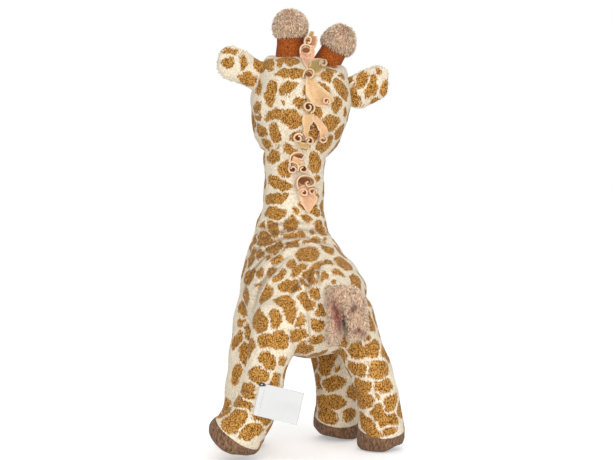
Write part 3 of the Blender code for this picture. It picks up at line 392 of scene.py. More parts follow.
def press_lines(piece, lines, ridge):
    """Sinks the skin along lines of the picture, on the side that faces the camera."""
    points, normals = places(piece), facings(piece)
    across, down = seen_at(points)
    facing = facing_camera(normals, 3)
    move = np.zeros(len(points))
    for line, depth, half_wide in lines:
        away, share = along_line(across, down, line)
        valley = np.exp(-((away / half_wide) ** 2))
        bank = np.exp(-(((away - RIDGE_OFFSET * half_wide) / half_wide) ** 2))
        move += faded_ends(share) * facing * depth * MM * (ridge * bank - valley)
    put(piece, points + normals * move[:, None])


nudge(skin, SKIN_NUDGES)
press_lines(skin, FOLDS, 0.45)
press_lines(skin, SEAMS, 0.15)
print("folds:", len(FOLDS), "seams:", len(SEAMS))

# %% [markdown]
# Stuffed cloth is never quite even. A slow wave moves the whole skin by a fraction of a millimetre, and
# a finer one, which only the pile would show, roughens its outline. The waves are sums of sines, so
# they are the same in each run.

# %% Uneven stuffing
WAVE_COUNT, LUMP_LENGTH, PILE_LENGTH = 14, 13 * MM, 2.4 * MM


def waves(points, length, seed):
    """A smooth, uneven height between about -1 and 1 for each point, with lumps of about this length."""
    generator = np.random.default_rng(seed)
    height = np.zeros(len(points))
    for _ in range(WAVE_COUNT):
        way = generator.normal(size=3)
        way *= 2 * np.pi / (length * generator.uniform(0.8, 1.6)) / np.linalg.norm(way)
        height += np.sin(points @ way + generator.uniform(0, 2 * np.pi))
    return height / math.sqrt(WAVE_COUNT)


def unevenly_stuffed(piece, lumps=0.35 * MM, pile=0.10 * MM, seed=1):
    points, normals = places(piece), facings(piece)
    move = lumps * waves(points, LUMP_LENGTH, seed) + pile * waves(points, PILE_LENGTH, seed + 50)
    put(piece, points + normals * move[:, None])


unevenly_stuffed(skin)

# %% [markdown]
# The soles are rounded off where they meet the ground. The raised foot is rounder still, and its hoof
# starts lower, as seen in the picture. The hoofs' seams are needed for this, so they are set here.

# %% Round the soles
# the middle of each hoof's seam and the way up across it
HOOF_SEAMS = {
    "front_left": ((0.0358, -0.0081, 0.0160), (-0.0301, 0.2864, 0.9576)),
    "front_right": ((-0.0337, -0.0091, 0.0160), (0.0200, 0.2873, 0.9576)),
    "rear_left": ((0.0570, 0.0449, 0.0189), (-0.432, 0.402, 0.806)),
    "rear_right": ((-0.0478, 0.0408, 0.0160), (0.0301, 0.2864, 0.9576)),
}
SOLE_ROUNDING, RAISED_ROUNDING = (2 * MM, 9 * MM), (20 * MM, 30 * MM)
raised = np.linalg.norm(places(skin) - np.array(HOOF_SEAMS["rear_left"][0]), axis=1)
low = np.maximum(1 - smooth_step(places(skin)[:, 2], *SOLE_ROUNDING), 1 - smooth_step(raised, *RAISED_ROUNDING))
finish_with(skin, "SMOOTH", factor=0.5, iterations=30, vertex_group=weigh(skin, "soles", low))

# %% [markdown]
# Cloth that is held along its seams and folds swells between them. A coarse copy of the skin is blown up
# with Blender's cloth, held along those lines, and the fine skin is moved by what the copy did. The even
# part of the swelling is taken off again, so the size stays and the held lines lie lower.

# %% Blow the skin up between its seams
CLOTH_CELL, CLOTH_POINT_MASS, PRESSURE, PRESSED_FRAMES = 5 * MM, 0.01, 4000.0, 20
SWELL_LIMIT, HELD_PIXELS, HELD_REACH, HOOF_REACH = 2.0 * MM, 4.5, 3.5 * MM, 32 * MM
SOLE_HELD, SOLE_FREE, SOLE_LIFT = (1 * MM, 4 * MM), (1 * MM, 7 * MM), 0.1 * MM


def held_by_seams(points, normals):
    """How firmly each place is held: along folds and seams, around each hoof and on the soles."""
    across, down = seen_at(points)
    facing = facing_camera(normals, 4)
    held = np.zeros(len(points))
    for line, depth, half_wide in FOLDS + SEAMS:
        away, share = along_line(across, down, line)
        held = np.maximum(held, facing * np.exp(-((away / HELD_PIXELS) ** 2)))
    for place, way in HOOF_SEAMS.values():
        offset = points - np.array(place)
        off_seam = np.abs(offset @ np.array(way)) / HELD_REACH
        held = np.maximum(held, np.exp(-(off_seam**2)) * (np.linalg.norm(offset, axis=1) < HOOF_REACH))
    return np.maximum(held, 1 - smooth_step(points[:, 2], *SOLE_HELD))


def blown_up(piece, held_by):
    """Blows up a coarse copy of a piece with cloth pressure; how far each of its points moves outward."""
    points, normals = places(piece), facings(piece)
    weigh(piece, "held", held_by(points, normals), -1.0)
    cloth = piece.modifiers.new("cloth", "CLOTH")
    cloth.settings.mass = CLOTH_POINT_MASS
    cloth.settings.use_pressure = True
    cloth.settings.uniform_pressure_force = PRESSURE
    cloth.settings.effector_weights.gravity = 0
    cloth.settings.vertex_group_mass = "held"
    for step in range(1, PRESSED_FRAMES + 1):
        bpy.context.scene.frame_set(step)
    take(piece)
    bpy.ops.object.modifier_apply(modifier=cloth.name)
    bpy.context.scene.frame_set(1)
    return points, ((places(piece) - points) * normals).sum(1)


def spread_smoothly(piece, values, rounds=12):
    """Averages values over the edges of a piece."""
    ends = np.empty(len(piece.data.edges) * 2, int)
    piece.data.edges.foreach_get("vertices", ends)
    one, other = ends.reshape(-1, 2).T
    count = np.bincount(ends, minlength=len(values))
    for _ in range(rounds):
        total = np.bincount(one, values[other], len(values)) + np.bincount(other, values[one], len(values))
        values = 0.5 * values + 0.5 * total / count
    return values


coarse = new_piece("pressed_copy", skin.data.copy())
even_weave(coarse, CLOTH_CELL, 2)
spots, swelling = blown_up(coarse, held_by_seams)
print("swelling in mm:", np.percentile(swelling * 1000, (2, 20, 50, 80, 98)).round(2))
lower = np.clip(swelling, -SWELL_LIMIT, SWELL_LIMIT)
lower = np.minimum(lower - np.percentile(lower, 55), 0.5 * MM)
tree = KDTree(len(spots))
for index, spot in enumerate(spots):
    tree.insert(spot, index)
tree.balance()
move = np.empty(len(skin.data.vertices))
for index, vertex in enumerate(skin.data.vertices):
    near = tree.find_n(vertex.co, 4)
    shares = np.array([1 / (away + MM) for _, _, away in near])
    move[index] = lower[[k for _, k, _ in near]] @ shares / shares.sum()
move = spread_smoothly(skin, move) * smooth_step(places(skin)[:, 2], *SOLE_FREE)
print("the fine skin moves by, in mm:", np.percentile(move * 1000, (1, 20, 50, 80, 99)).round(2))
put(skin, places(skin) + facings(skin) * move[:, None])
bpy.data.objects.remove(coarse)
points = places(skin)
points[:, 2] = np.maximum(points[:, 2], SOLE_LIFT)
put(skin, points)

# %% [markdown]
# ## The head, muzzle, ears
#
# The head is a stuffed ball that laps over the top of the neck, turned a little to its right and tilted.
# The muzzle is a cup sewn to its front. Each ear has a spotted back and a fleecy lining. All follow the
# stations of the frame's solids.

# %% Head and muzzle
HEAD_TURN = turned(-10, UP) @ turned(9, FORWARD)
HEAD_HEIGHT, HEAD_HALF_WIDE, HEAD_HALF_LONG, HEAD_FORWARD = 69 * MM, 34 * MM, 32.5 * MM, 7 * MM
HEAD_STATIONS = (
    (0.015, 0.46, 0.52), (0.050, 0.68, 0.72), (0.140, 0.82, 0.85), (0.230, 0.90, 0.92), (0.340, 0.96, 0.97),
    (0.460, 1.00, 1.00), (0.580, 1.00, 1.00), (0.700, 0.96, 0.96), (0.800, 0.88, 0.88), (0.880, 0.76, 0.77),
    (0.945, 0.57, 0.59), (0.990, 0.28, 0.30),
)
MUZZLE_ROOT = Vector((0, -21 * MM, 25 * MM))
MUZZLE_TIP = MUZZLE_ROOT + Vector((0, -40.5 * MM, -5 * MM))
MUZZLE_HALF_WIDE, MUZZLE_HALF_HIGH = 22.4 * MM, 17.4 * MM
MUZZLE_STATIONS = (
    (0.02, 0.98, 1.00), (0.25, 1.00, 1.00), (0.50, 0.94, 0.93), (0.70, 0.92, 0.90), (0.84, 0.88, 0.84),
    (0.93, 0.74, 0.70), (0.99, 0.44, 0.42),
)
head_base = joint_at["head_nod"]


def on_head(point):
    """A place given from the head's own joint, up, forward and sideways of it, in the model."""
    return head_base + HEAD_TURN @ Vector(point)


stations = [
    (on_head((0, -HEAD_FORWARD, up * HEAD_HEIGHT)), HEAD_TURN, wide * HEAD_HALF_WIDE, long * HEAD_HALF_LONG)
    for up, wide, long in HEAD_STATIONS
]
head_cover = bridged_circles("head_cover", stations, 40)
even_weave(head_cover, 1.7 * MM, 8)
finish_with(head_cover, "SUBSURF", levels=1, render_levels=1)
HEAD_NUDGES = (
    (266, 64, 15, -2, 10), (294, 62, 13, 0, 4), (344, 76, 12, 3, 9), (320, 66, 14, 0, 2), (258, 96, 14, -1.5, 0),
    (350, 100, 12, 2, 0),
)
nudge(head_cover, HEAD_NUDGES)
unevenly_stuffed(head_cover, seed=3)

muzzle_way = (MUZZLE_TIP - MUZZLE_ROOT).normalized()
muzzle_turn = HEAD_TURN @ Matrix((LEFT, -LEFT.cross(muzzle_way), muzzle_way)).transposed()
stations = [
    (on_head(MUZZLE_ROOT.lerp(MUZZLE_TIP, along)), muzzle_turn, wide * MUZZLE_HALF_WIDE, high * MUZZLE_HALF_HIGH)
    for along, wide, high in MUZZLE_STATIONS
]
muzzle_cover = bridged_circles("muzzle_cover", stations, 36)
even_weave(muzzle_cover, 1.6 * MM, 8)
finish_with(muzzle_cover, "SUBSURF", levels=1, render_levels=1)
unevenly_stuffed(muzzle_cover, 0.25 * MM, seed=5)
print("head:", len(head_cover.data.vertices), "muzzle:", len(muzzle_cover.data.vertices), "points")

# %% Ears
EAR_LENGTH, EAR_HALF_WIDE, EAR_HALF_THICK, EAR_CUP = 36 * MM, 12 * MM, 3.4 * MM, 2.6 * MM
LINING_BEHIND = 0.4 * MM
EAR_LIFTS = {"left": 12, "right": 24}
EAR_SWEEP = 6
EAR_STATIONS = (
    (-0.12, 0.72, 0.80), (0.04, 0.80, 0.95), (0.20, 0.86, 1.00), (0.36, 0.95, 1.05), (0.52, 1.02, 1.05),
    (0.68, 1.00, 0.98), (0.82, 0.86, 0.82), (0.92, 0.64, 0.62), (0.985, 0.34, 0.40),
)
EAR_NUDGES = {
    "left": ((258, 58, 9, 0, -1), (256, 84, 10, 0, -5), (214, 60, 10, 3, 0), (226, 46, 8, 1, 1)),
    "right": ((394, 82, 14, -9, -1), (360, 100, 13, 0, -7), (380, 66, 8, -1, 1)),
}
SIDES = (("left", 1), ("right", -1))
ear_backs, ear_linings, ear_turns = {}, {}, {}
for side, sign in SIDES:
    root = joint_at["ear_" + side + "_flop"]
    turn = HEAD_TURN @ turned(EAR_LIFTS[side] * sign, FORWARD) @ turned(EAR_SWEEP * sign, UP)
    ear_turns[side] = turn
    out, rise, back = turn @ (LEFT * sign), turn @ UP, turn @ -FORWARD
    leaf = Matrix((rise, out.cross(rise), out)).transposed()
    stations = [
        (root + out * (along * EAR_LENGTH), leaf, wide * EAR_HALF_WIDE, thick * EAR_HALF_THICK)
        for along, wide, thick in EAR_STATIONS
    ]
    ear = bridged_circles("ear_" + side + "_back", stations, 28)
    even_weave(ear, 1.2 * MM, 5)
    finish_with(ear, "SUBSURF", levels=1, render_levels=1)
    points = places(ear) - np.array(root)
    spread = points @ np.array(rise)
    points -= np.outer(EAR_CUP * (spread / EAR_HALF_WIDE) ** 2, np.array(back))
    put(ear, points + np.array(root))
    nudge(ear, EAR_NUDGES[side])
    unevenly_stuffed(ear, 0.25 * MM, seed=7 + sign)
    ear_backs[side] = ear
print("ears:", [len(ear.data.vertices) for ear in ear_backs.values()], "points")

# %% [markdown]
# ## Dividing the skin
#
# The skin has to move with thirteen bodies. It is divided where the cloth doesn't show it: a slanting
# plane through each groin, a level one at the neck's base, and the real seam above each hoof. Points
# on both sides of a cut are the same, and the cut's edge stays with the body it is sewn to.

# %% Where the skin divides
NECK_CUT = joint_at["neck_bend"] - UP * 3 * MM
GROIN_DROP, GROIN_SLANT, THIGH_REACH = 8 * MM, 46, 21.5 * MM
groins = {}
for leg in LEGS:
    hip = joint_at["leg_" + leg + "_swing"]
    outward = LEFT if hip.x > 0 else -LEFT
    slant = math.radians(GROIN_SLANT)
    groins[leg] = (hip - UP * GROIN_DROP, outward * math.sin(slant) - UP * math.cos(slant))
HIP_MIDDLE = 0.5 * (joint_at["leg_front_left_swing"].y + joint_at["leg_rear_left_swing"].y)
UNDER_BODY, HOOF_TOP = 6 * MM, 60 * MM


def behind_plane(points, place, way):
    return (points - np.array(place)) @ np.array(way)


def cut_skin(piece, place, way, near, reach):
    """Cuts new edges through the faces near a place, along a plane, without parting them."""
    middles = np.array([p.center for p in piece.data.polygons])
    chosen = np.linalg.norm(middles - np.array(near), axis=1) < reach
    open_faces(piece, chosen)
    bpy.ops.mesh.bisect(plane_co=place, plane_no=way, use_fill=False, threshold=0.00001)
    bpy.ops.object.mode_set(mode="OBJECT")


for leg in LEGS:
    place, way = HOOF_SEAMS[leg]
    cut_skin(skin, place, way, place, 40 * MM)
take(skin)
bpy.ops.object.shade_smooth()
soft = skin.data.attributes.new("soft_normal", "FLOAT_VECTOR", "POINT")
soft.data.foreach_set("vector", facings(skin).astype(np.float32).ravel())


def part_of_skin(points):
    """The name of the part that each place of the skin belongs to."""
    found = np.full(len(points), "body", dtype="<U20")
    found[behind_plane(points, NECK_CUT, UP) > 0] = "neck"
    for leg in LEGS:
        hip = joint_at["leg_" + leg + "_swing"]
        place, way = groins[leg]
        foot, seam_up = HOOF_SEAMS[leg]
        axis = (Vector(foot) - hip).normalized()
        offset = points - np.array(hip)
        off_axis = np.linalg.norm(offset - np.outer(offset @ np.array(axis), np.array(axis)), axis=1)
        same_side = (points[:, 0] > 0) == (hip.x > 0)
        same_end = (points[:, 1] > HIP_MIDDLE) == leg.startswith("rear")
        low = points[:, 2] < BODY_BOTTOM - UNDER_BODY
        mine = (behind_plane(points, place, way) > 0) & same_side & same_end & ((off_axis < THIGH_REACH) | low)
        found[mine] = leg
        found[mine & (behind_plane(points, foot, seam_up) < 0) & (points[:, 2] < HOOF_TOP)] = "hoof_" + leg
    return found


def part_piece(piece, chosen, name):
    """Takes the chosen faces off a piece as a piece of their own."""
    before = set(bpy.data.objects)
    open_faces(piece, chosen)
    bpy.ops.mesh.separate(type="SELECTED")
    bpy.ops.object.mode_set(mode="OBJECT")
    parted = (set(bpy.data.objects) - before).pop()
    parted.name = parted.data.name = name
    return parted


PART_NAMES = {"neck": "neck_cover"}
for leg in LEGS:
    PART_NAMES[leg] = "leg_" + leg + "_cover"
    PART_NAMES["hoof_" + leg] = "leg_" + leg + "_hoof_cover"
covers = {}
for part, name in PART_NAMES.items():
    middles = np.array([p.center for p in skin.data.polygons])
    covers[part] = part_piece(skin, part_of_skin(middles) == part, name)
skin.name = skin.data.name = "body_cover"
covers["body"] = skin
print({part: len(cover.data.polygons) for part, cover in covers.items()})

# %% [markdown]
# Every part is closed again, by filling its open edges, so that each is a stuffed piece of its own. The
# shading normals of the undivided skin are given back to it, and no line shows where it was divided.

# %% Close the parts
def fill_open_edges(piece):
    take(piece)
    bpy.ops.object.mode_set(mode="EDIT")
    bpy.ops.mesh.select_mode(type="EDGE")
    bpy.ops.mesh.select_all(action="SELECT")
    bpy.ops.mesh.fill_holes(sides=0)
    bpy.ops.object.mode_set(mode="OBJECT")


def close_up(piece):
    """Fills a part's open edges and gives it back the shading of the undivided skin."""
    cloth_faces = len(piece.data.polygons)
    fill_open_edges(piece)
    mesh = piece.data
    vertex = np.empty(len(mesh.loops), int)
    mesh.loops.foreach_get("vertex_index", vertex)
    stored = np.empty(len(mesh.vertices) * 3, np.float32)
    mesh.attributes["soft_normal"].data.foreach_get("vector", stored)
    normals = stored.reshape(-1, 3)[vertex]
    for face in list(mesh.polygons)[cloth_faces:]:
        normals[face.loop_start:face.loop_start + face.loop_total] = face.normal
    normals /= np.maximum(np.linalg.norm(normals, axis=1), 1e-9)[:, None]
    mesh.normals_split_custom_set(normals.tolist())
    mesh.attributes.remove(mesh.attributes["soft_normal"])
    return len(mesh.polygons) - cloth_faces


print("filled edges:", {part: close_up(cover) for part, cover in covers.items()})

# %% [markdown]
# ## The horns
#
# Each horn is a short tube of ribbed rust-brown cloth, with a ball of long taupe fleece pulled over its
# end. The tube is drawn through circles with a slight waist, and the ball is wider than the tube.

# %% Horn stems and balls
HORN_STEM_LENGTH, HORN_STEM_RADIUS = 19 * MM, 9.5 * MM
HORN_LEANS = {"left": 9, "right": 18}
HORN_STEM_STATIONS = ((-0.20, 0.98), (0.0, 1.05), (0.30, 1.00), (0.65, 0.97), (0.90, 0.99))
HORN_BALL_STATIONS = (
    (0.00, 0.72), (0.06, 0.90), (0.18, 0.99), (0.34, 1.01), (0.52, 0.97), (0.68, 0.86), (0.82, 0.68),
    (0.93, 0.43), (0.99, 0.18),
)
HORN_BALL_BASES, HORN_BALL_RADIUS = {"left": 16.3 * MM, "right": 14.5 * MM}, 11.5 * MM
HORN_BALL_HEIGHTS = {"left": 20.0 * MM, "right": 19.5 * MM}
HORN_NUDGES = {"left": ((290, 30, 40, 1, 1),), "right": ((338, 30, 30, 1, -3.5),)}
horn_stems, horn_balls, horn_turns = {}, {}, {}
for side, sign in SIDES:
    root = joint_at["horn_" + side + "_sway"]
    turn = HEAD_TURN @ turned(-HORN_LEANS[side] * sign, FORWARD)
    horn_turns[side] = turn
    rise = turn @ UP
    stations = [
        (root + rise * (up * HORN_STEM_LENGTH), turn, size * HORN_STEM_RADIUS, size * HORN_STEM_RADIUS)
        for up, size in HORN_STEM_STATIONS
    ]
    stem = bridged_circles("horn_" + side + "_stem_cover", stations, 32)
    even_weave(stem, 1.0 * MM, 4)
    unevenly_stuffed(stem, 0.22 * MM, 0.0, seed=20 + sign)
    base, high = HORN_BALL_BASES[side], HORN_BALL_HEIGHTS[side]
    stations = [
        (root + rise * (base + up * high), turn, size * HORN_BALL_RADIUS, size * HORN_BALL_RADIUS)
        for up, size in HORN_BALL_STATIONS
    ]
    ball = bridged_circles("horn_" + side + "_fleece", stations, 32)
    even_weave(ball, 1.3 * MM, 4)
    nudge(ball, HORN_NUDGES[side])
    nudge(stem, HORN_NUDGES[side])
    unevenly_stuffed(ball, 0.4 * MM, 0.0, seed=30 + sign)
    horn_stems[side], horn_balls[side] = stem, ball
print("horns:", [len(p.data.vertices) for p in (*horn_stems.values(), *horn_balls.values())], "points")

# %% [markdown]
# ## The tail
#
# The tail is a plush roll, folded over its root so that two ends hang down. The frame's roll already
# has this path, so a copy of it is swelled, the fork between its ends is padded, and all is covered
# evenly. A hollow runs down the left end, and two small ones lie where the right end is folded. The
# hollows are pressed in, and their shade is painted dark red into the fleece.

# %% Tail
# across, down and half width in pixels, half thickness in mm
TAIL_FORK, FORK_PIXEL = ((343, 291, 9, 4.5), (343, 299, 8, 5.0), (343, 308, 6, 4.2), (343, 316, 3, 3.0)), 0.69 * MM
TAIL_HOLLOWS = (
    (((332, 300), (336, 311), (339, 322), (341, 333)), 4.2, 3.9),
    (((344, 311), (344, 322), (345, 333)), 1.6, 1.7),
    (((350, 312), (354, 308), (358, 307)), 3.0, 1.8),
    (((354, 333), (359, 330), (364, 335)), 3.4, 1.9),
)
TAIL_NUDGES = (
    (330, 352, 13, 0, 8), (362, 352, 13, 1, 7), (362, 300, 14, 3, 0), (343, 282, 14, 0, -3), (317, 318, 15, 9, 0),
    (319, 342, 13, 7, 0), (322, 294, 12, 5, -2),
)
tail_roll = frame_copy("tail_roll", "tail_roll_copy", 0.4 * MM)
tail_root = frame_copy("tail_root", "tail_root_copy", 0.3 * MM)
low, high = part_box("tail_roll")
tail_depth = (Vector(low) + Vector(high)) / 2
stations = []
for across, down, half_wide, half_thick in TAIL_FORK:
    start, way = sight_line(across, down)
    place = start + way * ((tail_depth - start).dot(toward_camera) / way.dot(toward_camera))
    side = Matrix((camera_right, UP.cross(camera_right), UP)).transposed()
    stations.append((place, side, half_wide * FORK_PIXEL, half_thick * MM))
fork = bridged_circles("tail_fork", stations[::-1], 24)
tail_cover = joined("tail_cover", (tail_roll, tail_root, fork))
even_weave(tail_cover, 1.1 * MM, 8)
nudge(tail_cover, TAIL_NUDGES)
press_lines(tail_cover, TAIL_HOLLOWS, 0.1)
unevenly_stuffed(tail_cover, 0.45 * MM, 0.0, seed=41)
print("tail:", len(tail_cover.data.vertices), "points")

# %% [markdown]
# ## Fleece
#
# The horn tips, the tail and the ear linings have pile long enough to be seen as strands. One strand is
# modelled as a slim three-sided cone with a bend in it, and is copied to thousands of places on
# the carrier. Each copy leans along the lie of the pile, by its own small amount.

# %% One strand of pile
bpy.ops.object.select_all(action="DESELECT")
bpy.ops.mesh.primitive_cone_add(vertices=3, radius1=0.5, radius2=0.0, depth=1.0, location=(0, 0, 0.5))
strand = bpy.context.object
strand.name = "strand"
bpy.ops.object.mode_set(mode="EDIT")
bpy.ops.mesh.select_all(action="SELECT")
bpy.ops.mesh.bisect(plane_co=(0, 0, 0.55), plane_no=(0, 0, 1), use_fill=False)
bpy.ops.transform.resize(value=(1.55, 1.55, 1.0), center_override=(0, 0, 0.55))
bpy.ops.transform.translate(value=(-0.10, 0, 0))
bpy.ops.object.mode_set(mode="OBJECT")
take(strand)
bpy.ops.object.transform_apply(location=True, rotation=True, scale=True)
STRAND_POINTS = places(strand)
STRAND_FACES = [tuple(p.vertices) for p in strand.data.polygons]
bpy.data.objects.remove(strand)
STRAND_SUNK = 0.3 * MM
print("strand:", len(STRAND_POINTS), "points,", len(STRAND_FACES), "faces")


def scattered(piece, spacing, seed, wanted=None):
    """Places spread over a piece, one to each square of the spacing, with their normals."""
    generator = np.random.default_rng(seed)
    mesh = piece.data
    mesh.calc_loop_triangles()
    corners = np.empty(len(mesh.loop_triangles) * 3, int)
    mesh.loop_triangles.foreach_get("vertices", corners)
    corners = corners.reshape(-1, 3)
    points, normals = places(piece), facings(piece)
    a, b, c = (points[corners[:, i]] for i in range(3))
    areas = np.linalg.norm(np.cross(b - a, c - a), axis=1) / 2
    if wanted is not None:
        areas = areas * wanted((a + b + c) / 3, normals[corners].mean(1))
    count = int(areas.sum() / spacing**2)
    chosen = generator.choice(len(areas), count, p=areas / areas.sum())
    u, v = generator.random((2, count))
    flip = u + v > 1
    u[flip], v[flip] = 1 - u[flip], 1 - v[flip]
    w = 1 - u - v
    spots = a[chosen] * w[:, None] + b[chosen] * u[:, None] + c[chosen] * v[:, None]
    at_a, at_b, at_c = (normals[corners[chosen, i]] for i in range(3))
    ways = at_a * w[:, None] + at_b * u[:, None] + at_c * v[:, None]
    return spots, ways / np.linalg.norm(ways, axis=1)[:, None]


def plant(piece, spacing, length, thick, lie, lean, seed, wanted=None, unruly=0.45):
    """Plants strands on a piece and joins them to it. lie is the way that the pile is combed."""
    generator = np.random.default_rng(seed + 1)
    spots, ways = scattered(piece, spacing, seed, wanted)
    count = len(spots)
    comb = np.broadcast_to(np.asarray(lie, float), spots.shape)
    comb = comb - ways * (comb * ways).sum(1)[:, None]
    comb = comb / np.maximum(np.linalg.norm(comb, axis=1), 1e-6)[:, None]
    up = ways + lean * comb + unruly * generator.normal(size=(count, 3))
    up /= np.linalg.norm(up, axis=1)[:, None]
    side = np.cross(up, comb + 0.01)
    side /= np.maximum(np.linalg.norm(side, axis=1), 1e-6)[:, None]
    front = np.cross(side, up)
    tall = length * generator.uniform(0.65, 1.15, count)
    wide = thick * generator.uniform(0.8, 1.2, count)
    shape = STRAND_POINTS
    made = (
        spots[:, None, :] - ways[:, None, :] * STRAND_SUNK
        + front[:, None, :] * (shape[None, :, :1] * wide[:, None, None])
        + side[:, None, :] * (shape[None, :, 1:2] * wide[:, None, None])
        + up[:, None, :] * (shape[None, :, 2:] * tall[:, None, None])
    ).reshape(-1, 3)
    steps = np.arange(count)[:, None] * len(shape)
    faces = [tuple(row) for face in STRAND_FACES for row in (steps + np.array(face)).tolist()]
    pile = new_piece("pile", bpy.data.meshes.new("pile"))
    pile.data.from_pydata(made.tolist(), [], faces)
    keep(pile, "strand_tip", np.tile(shape[:, 2], count))
    take(pile)
    bpy.ops.object.shade_smooth()
    take(piece, pile)
    bpy.ops.object.join()
    return count


def off_the_back(side_sign, root, turn):
    """For an ear: strands on its front and out to its edge, none on its spotted back or near its root."""
    out, rise, back = (np.array(turn @ way) for way in (LEFT * side_sign, UP, -FORWARD))

    def wanted(points, normals):
        offset = points - np.array(root)
        along, spread = offset @ out, offset @ rise
        front = smooth_step(-(normals @ back), -0.15, 0.40)
        return front * smooth_step(along, 4 * MM, 9 * MM)

    return wanted


# the depth in mm that is fully shaded, and how far past a hollow its shade spreads
FULL_SHADE_DEPTH, SHADE_SPREAD = 4.5, 1.4
grown = {}
for side, sign in SIDES:
    down = np.array(horn_turns[side] @ -UP)
    grown["horn " + side] = plant(horn_balls[side], 0.72 * MM, 2.7 * MM, 0.74 * MM, down, 1.3, 60 + sign, unruly=0.28)
grown["tail"] = plant(tail_cover, 0.80 * MM, 2.7 * MM, 0.72 * MM, np.array(-UP), 1.1, 70, unruly=0.42)
# painted shade: how dark each point of the tail is painted along its hollows, kept for the fleece
points = places(tail_cover)
across, down = seen_at(points)
hollow_shade = np.zeros(len(points))
for line, depth, half_wide in TAIL_HOLLOWS:
    away, share = along_line(across, down, line)
    fade = np.sin(np.pi * (0.06 + 0.88 * share)) ** 0.5 * min(1.0, depth / FULL_SHADE_DEPTH)
    hollow_shade = np.maximum(hollow_shade, np.exp(-((away / half_wide / SHADE_SPREAD) ** 2)) * fade)
keep(tail_cover, "hollow_shade", hollow_shade)
for side, sign in SIDES:
    ear = ear_backs[side]
    root, turn = joint_at["ear_" + side + "_flop"], ear_turns[side]
    back = np.array(turn @ -FORWARD)
    middles = np.array([p.center for p in ear.data.polygons]) - np.array(root)
    rise = np.array(turn @ UP)
    level = middles @ back + EAR_CUP * ((middles @ rise) / EAR_HALF_WIDE) ** 2
    lining = part_piece(ear, level < -LINING_BEHIND, "ear_" + side + "_lining_fleece")
    ear_linings[side] = lining
    ear.name = ear.data.name = "ear_" + side + "_cover"
print("strands:", grown)

# %% [markdown]
# The lining is open at the ear's edge, so both halves are closed along it before the fleece is planted.
# The strands stand out past the edge, which is the white fringe seen from behind.

# %% Ear fleece
for side, sign in SIDES:
    fill_open_edges(ear_backs[side])
    fill_open_edges(ear_linings[side])
    turn, root = ear_turns[side], joint_at["ear_" + side + "_flop"]
    out = np.array(turn @ (LEFT * sign))
    count = plant(
        ear_linings[side], 0.76 * MM, 1.8 * MM, 0.80 * MM, out - 0.6 * np.array(UP), 0.9, 80 + sign,
        off_the_back(sign, root, turn), unruly=0.36,
    )
    print("ear", side, count, "strands")
